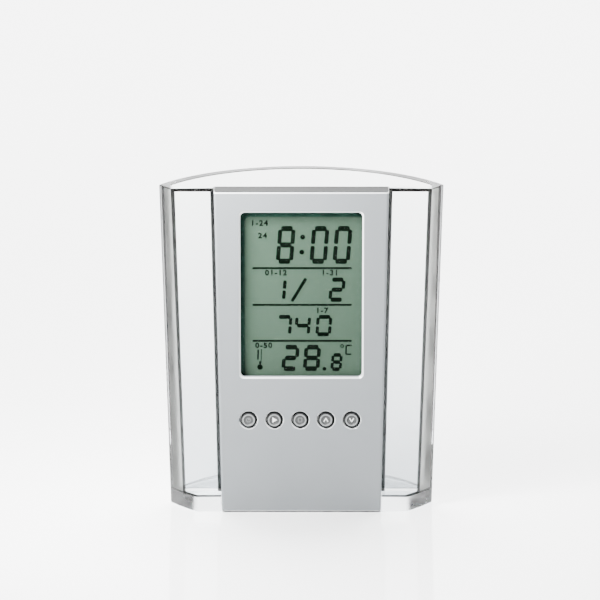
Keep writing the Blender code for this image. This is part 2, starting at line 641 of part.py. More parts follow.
def make_battery_parts():
    """Two button cells in series, their contacts, and the sliding door."""
    for number, side in enumerate((-1, 1), 1):
        edge = CONTACT_THICKNESS
        stations = [
            (CELL_FRONT, CELL_RADIUS - 2 * edge),
            (CELL_FRONT + edge, CELL_RADIUS - edge),
            (CELL_BACK - edge, CELL_RADIUS),
            (CELL_BACK, CELL_RADIUS - edge),
        ]
        cell = turned("button_cell_%d" % number, stations, side * CELL_X, CELL_Z, module, ROUND_STEPS)
        add_finish(cell, STEEL)
    low, high = CELL_Z - CONTACT_WIDTH / 2, CELL_Z + CONTACT_WIDTH / 2
    contact_back = CONTACT_FRONT + CONTACT_THICKNESS
    wide = CONTACT_WIDTH / 2
    foot = box("contact_negative", wide, low, high, CONTACT_FRONT, contact_back, module, -CELL_X)
    add_finish(foot, BRASS)
    outer_x = POCKET_HALF_WIDTH - FIT_GAP - CONTACT_THICKNESS / 2
    half = CONTACT_THICKNESS / 2
    side_contact = box("contact_positive", half, low, high, CONTACT_FRONT, CELL_BACK, module, outer_x)
    add_finish(side_contact, BRASS)
    bridge = box("contact_bridge", half, low, high, CONTACT_FRONT, CELL_BACK, module)
    reach = (CELL_X + CONTACT_WIDTH / 2) / 2
    join(bridge, box("bridge_foot", reach, low, high, CONTACT_FRONT, contact_back, module, reach))
    add_finish(bridge, BRASS)
    door = box("battery_door", DOOR_HALF_WIDTH, DOOR_FOOT, DOOR_TOP, DOOR_FRONT, DOOR_BACK, module)
    tongue_back = DOOR_FRONT + TONGUE_THICKNESS
    low, high = DOOR_FOOT + FIT_GAP, DOOR_TOP - FIT_GAP
    join(door, box("door_tongue", TONGUE_HALF_WIDTH, low, high, DOOR_FRONT, tongue_back, module))
    for number in range(GRIP_COUNT):
        low = DOOR_FOOT + DOOR_COVER + number * GRIP_PITCH
        front, back = DOOR_BACK - GRIP_DEPTH, DOOR_BACK + CUT_OVERRUN
        cut(door, box("door_grip_%d" % number, GRIP_WIDTH / 2, low, low + GRIP_HEIGHT, front, back, module))
    add_finish(door, GREY_PLASTIC)


def make_screws():
    """Pan-head screws from the back, through the posts and the board into the bezel's bosses."""
    head_back = REAR_BACK - SCREW_SUNK
    head_front = head_back - SCREW_HEAD_HEIGHT
    for number, (x, z) in enumerate(boss_places(), 1):
        stations = [
            (STRIP_BACK - SCREW_BITE, SCREW_RADIUS),
            (head_front, SCREW_RADIUS),
            (head_front, SCREW_HEAD_RADIUS),
            (head_back - CROSS_WIDTH, SCREW_HEAD_RADIUS),
            (head_back, SCREW_HEAD_RADIUS - CROSS_WIDTH),
        ]
        screw = turned("case_screw_%d" % number, stations, x, z, module)
        front, back = head_back - CROSS_DEPTH, head_back + CUT_OVERRUN
        slots = (("flat", CROSS_LENGTH, CROSS_WIDTH), ("upright", CROSS_WIDTH, CROSS_LENGTH))
        for label, across, up in slots:
            low, high = z - up / 2, z + up / 2
            cut(screw, box("screw_%s_%d" % (label, number), across / 2, low, high, front, back, module, x))
        add_finish(screw, STEEL)


clear_scene()
parts = make_collection("pen_holder_clock")
cutters = make_collection("cutters")
module = bpy.data.objects.new("clock_module", None)
module.location = (0, PANEL_Y, 0)
parts.objects.link(module)

make_cup()
make_bezel()
make_display()
make_buttons()
make_board()
make_rear_cover()
make_battery_parts()
make_screws()
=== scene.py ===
import math

import bmesh
import bpy
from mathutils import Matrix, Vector


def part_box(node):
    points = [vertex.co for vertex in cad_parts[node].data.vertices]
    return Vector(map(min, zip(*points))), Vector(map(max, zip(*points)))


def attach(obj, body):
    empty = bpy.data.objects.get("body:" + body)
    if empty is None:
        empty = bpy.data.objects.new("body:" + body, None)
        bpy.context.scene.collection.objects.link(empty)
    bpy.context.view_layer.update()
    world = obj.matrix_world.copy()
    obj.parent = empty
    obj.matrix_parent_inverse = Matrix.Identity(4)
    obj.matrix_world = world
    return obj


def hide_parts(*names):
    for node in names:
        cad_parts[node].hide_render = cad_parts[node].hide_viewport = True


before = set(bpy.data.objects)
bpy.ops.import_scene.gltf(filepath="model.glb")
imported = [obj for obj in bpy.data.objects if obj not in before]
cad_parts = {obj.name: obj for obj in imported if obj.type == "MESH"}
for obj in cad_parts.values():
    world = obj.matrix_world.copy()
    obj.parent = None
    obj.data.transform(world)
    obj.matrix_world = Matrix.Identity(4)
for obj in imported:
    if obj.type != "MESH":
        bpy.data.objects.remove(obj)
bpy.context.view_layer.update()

# Studio
# A glossy white floor that runs out of the picture, a large soft lamp high behind the cup, a small
# one above the clock's face, and a long lens that looks slightly down on the front.

bpy.ops.object.select_all(action="DESELECT")

PICTURE_SIDE = 600
FOCAL_PIXELS = 4722
SENSOR_WIDTH = 36
CAMERA_DISTANCE = 1.501
CAMERA_ELEVATION = math.radians(16)
LOOKED_AT = Vector((0, -0.00695, 0.0525))
SEEN_RIGHT_OF_MIDDLE = 1.4
SEEN_BELOW_MIDDLE = 44.8
FLOOR_SIDE = 8.0
FLOOR_DROP = 0.00005

back_off = Vector((0, -math.cos(CAMERA_ELEVATION), math.sin(CAMERA_ELEVATION)))
tilt_up = math.atan(SEEN_BELOW_MIDDLE / FOCAL_PIXELS)
turn_left = math.atan(SEEN_RIGHT_OF_MIDDLE / FOCAL_PIXELS)
bpy.ops.object.camera_add(
    location=LOOKED_AT + back_off * CAMERA_DISTANCE,
    rotation=(math.radians(90) - CAMERA_ELEVATION + tilt_up, 0, turn_left),
)
camera = bpy.context.active_object
camera.name = "camera"
camera.data.sensor_width = SENSOR_WIDTH
camera.data.lens = FOCAL_PIXELS / PICTURE_SIDE * SENSOR_WIDTH
bpy.context.scene.camera = camera


def soft_lamp(name, place, aim, size, power):
    """A square area lamp at a place, turned to a point."""
    turn = (Vector(aim) - Vector(place)).to_track_quat("-Z", "Y").to_euler()
    bpy.ops.object.light_add(type="AREA", location=place, rotation=turn)
    lamp = bpy.context.active_object
    lamp.name = name
    lamp.data.size = size
    lamp.data.energy = power
    lamp.visible_camera = False
    lamp.visible_transmission = False


soft_lamp("overhead_lamp", place=(0, 0.8, 1.2), aim=(0, 0.8, 0), size=1.2, power=120)
soft_lamp("face_lamp", place=(-0.08, -0.075, 0.17), aim=(-0.01, 0, 0.09), size=0.06, power=1.9)

ROOM_BEHIND_CAMERA = 0.3
ROOM_BEHIND_CUP = 6.0
FULL_LIGHT_FROM = 0.8


def stretched(tree, value, start, end, low, high):
    """Turns a value that runs from start to end into one that runs from low to high."""
    reach = tree.nodes.new("ShaderNodeMapRange")
    for socket, number in (("From Min", start), ("From Max", end), ("To Min", low), ("To Max", high)):
        reach.inputs[socket].default_value = number
    tree.links.new(value, reach.inputs["Value"])
    return reach.outputs["Result"]


def light_room():
    """A pale room that is brighter behind the cup than behind the camera."""
    room = bpy.data.worlds.new("pale_room")
    room.use_nodes = True
    tree = room.node_tree
    background = tree.nodes["Background"]
    background.inputs["Color"].default_value = (1, 1, 1, 1)
    way = tree.nodes.new("ShaderNodeTexCoord")
    parts = tree.nodes.new("ShaderNodeSeparateXYZ")
    tree.links.new(way.outputs["Generated"], parts.inputs["Vector"])
    light = stretched(tree, parts.outputs["Y"], 0, FULL_LIGHT_FROM, ROOM_BEHIND_CAMERA, ROOM_BEHIND_CUP)
    tree.links.new(light, background.inputs["Strength"])
    bpy.context.scene.world = room


light_room()

CLOUD_LOW = 0.3
CLOUD_HIGH = 0.7


def socket_of(finish, name):
    """One of the inputs of a material's shader."""
    return finish.node_tree.nodes["Principled BSDF"].inputs[name]


def new_finish(name, values=None):
    """A material, with values for its shader, and the piece's own coordinates to draw patterns with."""
    finish = bpy.data.materials.new(name)
    finish.use_nodes = True
    for socket, value in (values or {}).items():
        socket_of(finish, socket).default_value = value
    where = finish.node_tree.nodes.new("ShaderNodeTexCoord")
    return finish, where.outputs["Object"]


def cloud(finish, where, size, detail=4.0):
    """A random pattern whose spots measure about size."""
    noise = finish.node_tree.nodes.new("ShaderNodeTexNoise")
    noise.inputs["Scale"].default_value = 1 / size
    noise.inputs["Detail"].default_value = detail
    finish.node_tree.links.new(where, noise.inputs["Vector"])
    return noise.outputs["Fac"]


def blend_colour(finish, value, start, end, low, high):
    """Moves the colour from one shade to another as a value runs from start to end."""
    ramp = finish.node_tree.nodes.new("ShaderNodeValToRGB")
    ramp.color_ramp.elements[0].position = start
    ramp.color_ramp.elements[0].color = (*low, 1)
    ramp.color_ramp.elements[1].position = end
    ramp.color_ramp.elements[1].color = (*high, 1)
    finish.node_tree.links.new(value, ramp.inputs["Fac"])
    finish.node_tree.links.new(ramp.outputs["Color"], socket_of(finish, "Base Color"))


def cloud_colour(finish, where, size, dark, light):
    """Lets clouds of a size move the colour between two shades."""
    blend_colour(finish, cloud(finish, where, size), CLOUD_LOW, CLOUD_HIGH, dark, light)


def cloud_roughness(finish, where, size, low, high):
    """Lets clouds of a size move the roughness between two values."""
    pattern = cloud(finish, where, size)
    roughness = stretched(finish.node_tree, pattern, CLOUD_LOW, CLOUD_HIGH, low, high)
    finish.node_tree.links.new(roughness, socket_of(finish, "Roughness"))


def relief(finish, where, size, height, detail=2.0):
    """Raises the surface by clouds of a size, up to a height."""
    bump = finish.node_tree.nodes.new("ShaderNodeBump")
    bump.inputs["Strength"].default_value = 1
    bump.inputs["Distance"].default_value = height
    finish.node_tree.links.new(cloud(finish, where, size, detail), bump.inputs["Height"])
    finish.node_tree.links.new(bump.outputs["Normal"], socket_of(finish, "Normal"))


def lacquered_floor():
    finish, where = new_finish("lacquered_floor")
    cloud_colour(finish, where, 0.2, (0.88, 0.88, 0.88), (0.9, 0.9, 0.9))
    cloud_roughness(finish, where, 0.01, 0.06, 0.09)
    return finish


def put_on(piece, finish):
    piece.data.materials.clear()
    piece.data.materials.append(finish)


bpy.ops.mesh.primitive_plane_add(size=FLOOR_SIDE, location=(0, 0, -FLOOR_DROP))
floor = bpy.context.active_object
floor.name = "floor"
put_on(floor, lacquered_floor())

# Clear cup
# One injection moulding of clear polystyrene, polished all over. Its plan is a lens of two arcs,
# cut flat in front, where a rebated slot, open at the rim, holds the clock module.

RIM_HALF_WIDTH = 0.0448
BASE_HALF_WIDTH = 0.0418
RIM_BACK_DEPTH = 0.0246
CUP_WALL = 0.0031
SLAB_HEIGHT = 0.0055
LIP_THICKNESS = 0.0018
LIP_WIDTH = 0.0017
PANEL_STAND_OUT = 0.0048
PANEL_TOP_HALF_WIDTH = 0.0274
PANEL_FOOT_HALF_WIDTH = 0.0253
FIT_GAP = 0.0003
SEAT_GAP = 0.0001
LIP_BELOW_RIM = 0.0023
OVERRUN = 0.002
NEAR = 0.00002
MERGE_WITHIN = 0.000002
FLAT_WITHIN = math.radians(0.05)
SHARP_TURN = math.radians(30)
ARC_SIDES = 192
# how much of a face's normal, or of an edge's length, has to point one way
SQUARE_ON = 0.99
MAINLY = 0.9
HALF_TURNED = 0.5
SLIGHTLY = 0.3
FLOOR_FILLET = 0.0004
FILLET_STEEPEST = 0.1
FILLET_FLATTEST = 0.98
INNER_CORNER_ROUND = 0.0005
CUP_EDGE_ROUND = 0.00025
OUTER_CORNER_CUT = 0.0009
SLOT_EDGE_CUT = 0.00115
FRONT_RIM_CUT = 0.0009
SLAB_EDGE_ROUND = 0.0003
LEDGE_CUT = 0.0006
END_LINE_DEPTH = 0.0006
OUTER_CORNER_FROM_X = 0.034
BACK_RIM_FROM_Y = -0.003
BAND_FOOT_X = 0.0412
BAND_LEAN = 0.0178
# Slot 1 paints near black on the cup's cut outer corners, the slot's cut edges, the rim's cut and rounded
# edges, and the lip's front seen through the gap beside the module: painted shade for the dark lines the
# clear plastic shows at its edges, and for the shade in the gap.
PAINTED_DARK_EDGE = 1
FRONT_RIM = 2
# Slot 3 paints the top of the rim's back arc dark grey: painted shade for the grey line seen along it.
PAINTED_SHADE_BACK_RIM = 3
# Slot 4 paints a grey band on each pointed end beside the front corners: painted shade for the dark band
# seen there.
PAINTED_SHADE_BAND = 4
SLAB_SIDE = 5
# Slot 6 paints the ledge's cut top edge, and the strip that carries its line round the pointed ends, near
# black: painted shade.
PAINTED_SHADE_LEDGE = 6
# Slot 7 paints the fillet round the cup's floor grey: painted shade.
PAINTED_SHADE_FLOOR_EDGE = 7
# Slot 8 paints a narrow grey strip along each pointed end: painted shade.
PAINTED_SHADE_END_LINE = 8
CUP_IOR = 1.3
WAVE_HEIGHT = 0.00001
WAVE_SIZE = 0.02
HAZE_SIZE = 0.012
HAZE_SPREAD = 0.4
# The rows for slots 1, 3, 4, 6, 7 and 8 are painted shade, and so are the colours at the foot.
CUP_FINISHES = (
    # name, colour, roughness, and the colour at the foot where it differs, a painted shade
    ("clear_polystyrene", (0.97, 0.98, 0.98), 0.01, (0.62, 0.645, 0.665)),
    ("shaded_edge", (0.0001, 0.0001, 0.00009), 0.05, (0.0022, 0.0023, 0.0022)),
    ("front_rim", (0.9, 0.93, 0.92), 0.3, None),
    ("back_rim_painted_shade", (0.004, 0.0042, 0.0041), 0.3, None),
    ("side_band_painted_shade", (0.1, 0.102, 0.096), 0.8, None),
    ("slab_side", (0.88, 0.9, 0.91), 0.3, None),
    ("ledge_edge_painted_shade", (0.003, 0.0037, 0.0039), 0.3, None),
    ("floor_edge_painted_shade", (0.16, 0.17, 0.175), 0.2, None),
    ("end_line_painted_shade", (0.12, 0.125, 0.13), 0.3, None),
)

cup_low, cup_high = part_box("pen_cup")
bezel_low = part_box("front_bezel")[0]
CUP_HEIGHT = cup_high.z
WIDEST_LINE_Y = cup_high.y - RIM_BACK_DEPTH
PANEL_Y = bezel_low.y
SLAB_Y = cup_low.y
WALL_OUTSIDE_Y = PANEL_Y + PANEL_STAND_OUT
WALL_INSIDE_Y = WALL_OUTSIDE_Y + CUP_WALL
LIP_FRONT_Y = WALL_INSIDE_Y - LIP_THICKNESS


def only(piece):
    """Leaves one piece selected and active."""
    bpy.ops.object.select_all(action="DESELECT")
    piece.select_set(True)
    bpy.context.view_layer.objects.active = piece


def settle():
    """Puts the selected piece's place, turn and scale into its mesh."""
    bpy.ops.object.transform_apply(location=True, rotation=True, scale=True)


def named(name):
    """Names the active piece, and puts its place into its mesh."""
    piece = bpy.context.active_object
    piece.name = name
    piece.data.name = name
    only(piece)
    settle()
    return piece


def pick(piece, kind, rule):
    """Opens a piece in edit mode, with the corners, edges or faces selected that a rule takes."""
    only(piece)
    bpy.ops.object.mode_set(mode="EDIT")
    bpy.ops.mesh.select_mode(type=kind)
    bpy.ops.mesh.select_all(action="DESELECT")
    shape = bmesh.from_edit_mesh(piece.data)
    held = {"VERT": shape.verts, "EDGE": shape.edges, "FACE": shape.faces}[kind]
    for element in held:
        if rule(element):
            element.select_set(True)
    bmesh.update_edit_mesh(piece.data)


def put_down():
    bpy.ops.object.mode_set(mode="OBJECT")


def bevel(piece, rule, width, segments=1, slot=-1):
    """Cuts or rounds the edges that a rule takes, in one of the piece's finishes if a slot is given."""
    pick(piece, "EDGE", rule)
    bpy.ops.mesh.bevel(offset=width, segments=segments, affect="EDGES", material=slot)
    put_down()


def divide(piece, rule, place, across):
    """Cuts the faces that a rule takes in two at a plane."""
    pick(piece, "FACE", rule)
    bpy.ops.mesh.bisect(plane_co=place, plane_no=across)
    put_down()


def open_slots(piece, count):
    """Gives a piece places for several finishes."""
    for slot in range(count):
        piece.data.materials.append(None)


def paint(piece, slot, rule):
    """Gives one of the piece's finishes to the faces that a rule takes."""
    pick(piece, "FACE", rule)
    piece.active_material_index = slot
    bpy.ops.object.material_slot_assign()
    put_down()


def block(name, low, high):
    """A block between two corners."""
    low, high = Vector(low), Vector(high)
    bpy.ops.mesh.primitive_cube_add(size=1, location=(low + high) / 2, scale=high - low)
    return named(name)


def carve(piece, tool, operation="DIFFERENCE"):
    """Cuts a piece with a tool, or joins or meets the two, and throws the tool away."""
    boolean = piece.modifiers.new("carve", "BOOLEAN")
    boolean.operation = operation
    boolean.solver = "EXACT"
    boolean.object = tool
    only(piece)
    bpy.ops.object.modifier_apply(modifier=boolean.name)
    bpy.data.objects.remove(tool, do_unlink=True)


def clean_mesh(piece):
    """Merges doubled corners, joins faces that lie in one plane, and turns the faces outwards."""
    pick(piece, "VERT", lambda corner: True)
    bpy.ops.mesh.remove_doubles(threshold=MERGE_WITHIN)
    bpy.ops.mesh.dissolve_limited(angle_limit=FLAT_WITHIN)
    bpy.ops.mesh.select_all(action="SELECT")
    bpy.ops.mesh.normals_make_consistent(inside=False)
    put_down()


def smooth(piece):
    """Shades the rounded parts smooth and keeps the flat faces flat."""
    only(piece)
    bpy.ops.object.shade_smooth_by_angle(angle=SHARP_TURN)
    weighted = piece.modifiers.new("flat_faces", "WEIGHTED_NORMAL")
    weighted.keep_sharp = True
    bpy.ops.object.modifier_apply(modifier=weighted.name)


def panel_half_width(z):
    return PANEL_FOOT_HALF_WIDTH + (PANEL_TOP_HALF_WIDTH - PANEL_FOOT_HALF_WIDTH) * z / CUP_HEIGHT


def spread_block(name, low_z, high_z, front, back, foot, top):
    """A block whose sides lean from one half-width at its foot to another at its top."""
    piece = block(name, (-top, front, low_z), (top, back, high_z))
    pick(piece, "VERT", lambda corner: corner.co.z < (low_z + high_z) / 2)
    bpy.ops.transform.resize(value=(foot / top, 1, 1), center_override=(0, 0, 0))
    put_down()
    return piece


def leaning_block(name, low_z, high_z, front, back, inset):
    """A block whose sides lean outwards as the clock module's do, drawn in by an inset."""
    foot = panel_half_width(low_z) - inset
    top = panel_half_width(high_z) - inset
    return spread_block(name, low_z, high_z, front, back, foot, top)


def arc_at(z):
    """The radius of the lens's arcs at a height, and how far their centres lie from its widest line."""
    half_width = BASE_HALF_WIDTH + (RIM_HALF_WIDTH - BASE_HALF_WIDTH) * z / CUP_HEIGHT
    depth = half_width * RIM_BACK_DEPTH / RIM_HALF_WIDTH
    radius = (half_width**2 + depth**2) / (2 * depth)
    return radius, radius - depth


def front_corner(z):
    """How far out the front wall's face meets the lens's front arc at a height."""
    radius, centre = arc_at(z)
    return math.sqrt(radius**2 - (WIDEST_LINE_Y + centre - WALL_OUTSIDE_Y) ** 2)


def lens_half(name, facing, low_z, high_z, inset):
    """A tapered drum whose side is one of the lens's two arcs."""
    low_radius, low_centre = arc_at(low_z)
    high_radius, high_centre = arc_at(high_z)
    middle = (0, WIDEST_LINE_Y - facing * high_centre, (low_z + high_z) / 2)
    bpy.ops.mesh.primitive_cylinder_add(
        vertices=ARC_SIDES, radius=high_radius - inset, depth=high_z - low_z, location=middle
    )
    drum = named(name)
    pick(drum, "VERT", lambda corner: corner.co.z < middle[2])
    share = (low_radius - inset) / (high_radius - inset)
    bpy.ops.transform.resize(value=(share, share, 1), center_override=(0, middle[1], low_z))
    bpy.ops.transform.translate(value=(0, facing * (high_centre - low_centre), 0))
    put_down()
    return drum


def cut_off(piece, place, outward):
    """Cuts a piece off flat at a plane."""
    pick(piece, "FACE", lambda face: True)
    bpy.ops.mesh.bisect(plane_co=place, plane_no=outward, use_fill=True, clear_outer=True)
    put_down()


def lens_solid(name, low_z, high_z, inset, front):
    """The lens between two heights, cut flat in front."""
    lens = lens_half(name, 1, low_z, high_z, inset)
    carve(lens, lens_half("front_half", -1, low_z, high_z, inset), "INTERSECT")
    cut_off(lens, (0, front, 0), (0, -1, 0))
    return lens


def upright(edge):
    along = edge.verts[1].co - edge.verts[0].co
    return abs(along.z) > MAINLY * along.length


def turns(edge):
    """Tells whether the surface turns at an edge."""
    return len(edge.link_faces) == 2 and edge.calc_face_angle(0) > SHARP_TURN


def both_ends(edge, rule):
    """Tells whether a rule holds at both ends of an edge."""
    return all(rule(corner.co) for corner in edge.verts)


def on_wall_line(edge, y):
    """Takes the upright edges in a plane of the front wall, above the slab."""
    return upright(edge) and both_ends(edge, lambda at: abs(at.y - y) < NEAR and at.z > SLAB_HEIGHT - NEAR)


def on_inner_corner(edge):
    return turns(edge) and on_wall_line(edge, WALL_INSIDE_Y)


def on_floor_line(edge):
    return both_ends(edge, lambda at: at.z < SLAB_HEIGHT + FIT_GAP)


def on_rim(edge):
    return turns(edge) and both_ends(edge, lambda at: at.z > CUP_HEIGHT - NEAR)


def on_front_rim(edge):
    return on_rim(edge) and both_ends(edge, lambda at: at.y < WALL_OUTSIDE_Y + NEAR)


def on_ledge_edge(edge):
    """Takes the upper edge of the ledge in front of the wall."""
    return turns(edge) and both_ends(
        edge, lambda at: abs(at.z - SLAB_HEIGHT) < NEAR and at.y < WALL_OUTSIDE_Y - NEAR)


def on_slab_edge(edge):
    """Takes the slab's edges at its foot and at the two ends of its flat front."""
    at_foot = both_ends(edge, lambda at: at.z < NEAR)
    ahead = both_ends(edge, lambda at: at.y < SLAB_Y + NEAR)
    return turns(edge) and (at_foot or ahead)


def looks_ahead(face):
    return face.normal.y < -SQUARE_ON


def on_rim_top(face):
    return face.normal.z > SQUARE_ON and face.calc_center_median().z > CUP_HEIGHT - NEAR


def on_back_rim(face):
    return on_rim_top(face) and face.calc_center_median().y > BACK_RIM_FROM_Y


def on_lip(face):
    return looks_ahead(face) and abs(face.calc_center_median().y - LIP_FRONT_Y) < NEAR


def on_lip_above_slab(face):
    return on_lip(face) and face.calc_center_median().z > SLAB_HEIGHT


def on_slab_side(face):
    """Takes the slab's curved sides in front of the pointed ends, below the ledge's cut edge."""
    middle = face.calc_center_median()
    return (middle.z < SLAB_HEIGHT and middle.y < WIDEST_LINE_Y and abs(face.normal.z) < HALF_TURNED
            and abs(middle.x) > PANEL_TOP_HALF_WIDTH and face.material_index != PAINTED_SHADE_LEDGE)


def beside_clock(face):
    """Takes the outer faces beside the clock module that look sideways and forwards."""
    middle = face.calc_center_median()
    return (abs(middle.x) > PANEL_TOP_HALF_WIDTH and middle.y < WIDEST_LINE_Y
            and face.normal.y < -SLIGHTLY and middle.x * face.normal.x > 0)


def on_pointed_end(face):
    """Takes the outer surface between a front corner and a pointed end."""
    middle = face.calc_center_median()
    return (beside_clock(face) and middle.y > WALL_OUTSIDE_Y + NEAR and abs(face.normal.x) > HALF_TURNED
            and SLAB_HEIGHT < middle.z < CUP_HEIGHT - FIT_GAP)


def in_side_band(face):
    middle = face.calc_center_median()
    return on_pointed_end(face) and abs(middle.x) < BAND_FOOT_X + BAND_LEAN * middle.z


def on_end_side(face):
    """Takes the outer surface at the pointed ends, in front of the widest line, down to the foot."""
    return beside_clock(face) and abs(face.normal.z) < HALF_TURNED


def in_ledge_line(face):
    """Takes the strip that carries on the line of the ledge round the pointed ends."""
    return on_end_side(face) and SLAB_HEIGHT - LEDGE_CUT < face.calc_center_median().z < SLAB_HEIGHT


def in_end_line(face):
    """Takes the narrow strip along each pointed end."""
    return on_end_side(face) and face.calc_center_median().y > WIDEST_LINE_Y - END_LINE_DEPTH


def on_floor_edge(face):
    """Takes the fillet round the cup's floor."""
    height = face.calc_center_median().z - SLAB_HEIGHT
    return FILLET_STEEPEST < face.normal.z < FILLET_FLATTEST and 0 < height < FLOOR_FILLET


def at_slot_rim(corner):
    """Takes the corners of the rim's top where the slot begins."""
    return (corner.co.z > CUP_HEIGHT - NEAR and corner.co.y < LIP_FRONT_Y
            and abs(corner.co.x) < PANEL_TOP_HALF_WIDTH + OVERRUN / 2)


def hollow_tool(above):
    """The room inside the cup's walls, up to above the rim, with its front corners filled out."""
    foot, top = front_corner(SLAB_HEIGHT), front_corner(above)
    hollow = lens_solid("hollow", SLAB_HEIGHT, above, CUP_WALL, WALL_OUTSIDE_Y)
    corners = spread_block("corners", SLAB_HEIGHT, above, LIP_FRONT_Y, WIDEST_LINE_Y, foot, top)
    carve(hollow, corners, "UNION")
    cut_off(hollow, (0, WALL_INSIDE_Y, 0), (0, -1, 0))
    clean_mesh(hollow)
    bevel(hollow, on_inner_corner, INNER_CORNER_ROUND, segments=8)
    bevel(hollow, on_floor_line, FLOOR_FILLET, segments=4)
    return hollow


def mould_cup():
    """The lens with its ledge and its hollow, and the rebate, slot and notch that hold the clock module."""
    above = CUP_HEIGHT + OVERRUN
    ahead = PANEL_Y - OVERRUN
    through = WALL_INSIDE_Y + OVERRUN
    cup = lens_solid("clear_cup", 0, CUP_HEIGHT, 0, SLAB_Y)
    ledge_low = (-RIM_HALF_WIDTH, ahead, SLAB_HEIGHT)
    carve(cup, block("ledge", ledge_low, (RIM_HALF_WIDTH, WALL_OUTSIDE_Y, above)))
    carve(cup, hollow_tool(above))
    carve(cup, leaning_block("seat", -OVERRUN, above, ahead, LIP_FRONT_Y, -SEAT_GAP))
    carve(cup, leaning_block("slot", SLAB_HEIGHT - NEAR, above, ahead, through, LIP_WIDTH))
    carve(cup, leaning_block("notch", CUP_HEIGHT - LIP_BELOW_RIM, above, ahead, through, -SEAT_GAP))
    clean_mesh(cup)
    return cup


def work_edges(cup):
    """Divides the cup's surface where its finish and its painted shade change, and cuts and rounds its
    edges, some in painted shade.
    """
    divide(cup, on_rim_top, (0, BACK_RIM_FROM_Y, 0), (0, 1, 0))
    for side in (-1, 1):
        divide(cup, on_pointed_end, (side * BAND_FOOT_X, 0, 0), (side, 0, -BAND_LEAN))
    divide(cup, on_lip, (0, 0, SLAB_HEIGHT), (0, 0, 1))
    # The lip's front, seen through the gap beside the module, is painted near black: painted shade.
    paint(cup, PAINTED_DARK_EDGE, on_lip_above_slab)
    for outer, cut in ((True, OUTER_CORNER_CUT), (False, SLOT_EDGE_CUT)):
        bevel(cup, lambda edge: on_wall_line(edge, WALL_OUTSIDE_Y) and both_ends(
            edge, lambda at: (abs(at.x) > OUTER_CORNER_FROM_X) == outer), cut, slot=PAINTED_DARK_EDGE)
    bevel(cup, on_ledge_edge, LEDGE_CUT, slot=PAINTED_SHADE_LEDGE)
    bevel(cup, on_slab_edge, SLAB_EDGE_ROUND, segments=3)
    for z in (SLAB_HEIGHT - LEDGE_CUT, SLAB_HEIGHT):
        divide(cup, on_end_side, (0, 0, z), (0, 0, 1))
    divide(cup, on_end_side, (0, WIDEST_LINE_Y - END_LINE_DEPTH, 0), (0, 1, 0))
    bevel(cup, on_front_rim, FRONT_RIM_CUT, slot=PAINTED_DARK_EDGE)
    bevel(cup, on_rim, CUP_EDGE_ROUND, segments=3, slot=PAINTED_DARK_EDGE)
    pick(cup, "VERT", at_slot_rim)
    bpy.ops.mesh.remove_doubles(threshold=FIT_GAP / 3)
    put_down()


def clear_finish(name, colour, roughness, ior, waviness, wave_size, painted_foot_shade=None):
    """A clear plastic that lets the lamps through: polished, with the faint waves of a moulding."""
    values = {"Base Color": (*colour, 1), "Transmission Weight": 1, "IOR": ior}
    finish, where = new_finish(name, values)
    tree = finish.node_tree
    # With a foot colour, the colour runs from it at the foot to the given colour at the rim: painted shade,
    # which darkens the clear plastic and lightens its painted dark edges towards the foot.
    if painted_foot_shade:
        parts = tree.nodes.new("ShaderNodeSeparateXYZ")
        tree.links.new(where, parts.inputs["Vector"])
        height_share = stretched(tree, parts.outputs["Z"], 0, CUP_HEIGHT, 0, 1)
        blend_colour(finish, height_share, 0, 1, painted_foot_shade, colour)
    smoothest, roughest = roughness * (1 - HAZE_SPREAD), roughness * (1 + HAZE_SPREAD)
    cloud_roughness(finish, where, HAZE_SIZE, smoothest, roughest)
    relief(finish, where, wave_size, waviness)
    see_through = tree.nodes.new("ShaderNodeBsdfTransparent")
    see_through.inputs["Color"].default_value = (*colour, 1)
    path = tree.nodes.new("ShaderNodeLightPath")
    mix = tree.nodes.new("ShaderNodeMixShader")
    tree.links.new(path.outputs["Is Shadow Ray"], mix.inputs["Fac"])
    tree.links.new(tree.nodes["Principled BSDF"].outputs["BSDF"], mix.inputs[1])
    tree.links.new(see_through.outputs["BSDF"], mix.inputs[2])
    tree.links.new(mix.outputs["Shader"], tree.nodes["Material Output"].inputs["Surface"])
    return finish


cup = mould_cup()
open_slots(cup, len(CUP_FINISHES))
work_edges(cup)
# Slots 3, 4, 6, 7 and 8 given out here are painted shade.
for slot, rule in (
    (FRONT_RIM, on_rim_top),
    (PAINTED_SHADE_BACK_RIM, on_back_rim),
    (PAINTED_SHADE_BAND, in_side_band),
    (SLAB_SIDE, on_slab_side),
    (PAINTED_SHADE_LEDGE, in_ledge_line),
    (PAINTED_SHADE_END_LINE, in_end_line),
    (PAINTED_SHADE_FLOOR_EDGE, on_floor_edge),
):
    paint(cup, slot, rule)
smooth(cup)
for slot, (name, colour, roughness, painted_foot_shade) in enumerate(CUP_FINISHES):
    cup.data.materials[slot] = clear_finish(
        name, colour, roughness, CUP_IOR, WAVE_HEIGHT, WAVE_SIZE, painted_foot_shade)
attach(cup, "cup")
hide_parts("pen_cup")

# Front bezel
# The silver face of the clock module: a moulded shell with rounded edges, sprayed with satin
# silver paint. It has the window, five button holes and the bosses of the case screws.

BEZEL_WALL = 0.0018
BEZEL_TOP_WALL = 0.002
BEZEL_SIDE_ROUND = 0.0007
BEZEL_END_ROUND = 0.0004
BEZEL_SIDE_DEPTH = 0.0058
PLATE_THICKNESS = 0.0018
WINDOW_CORNER = 0.0014
WINDOW_CHAMFER = 0.0005
WINDOW_WIDTH = 0.0383
WINDOW_HEIGHT = 0.0536
WINDOW_BELOW_RIM = 0.0066
HOLE_RADIUS = 0.0028
HOLE_CHAMFER = 0.0003
BOSS_RADIUS = 0.002
PILOT_RADIUS = 0.0011
BOSS_DEPTH = 0.0064
PILOT_START = 0.0032
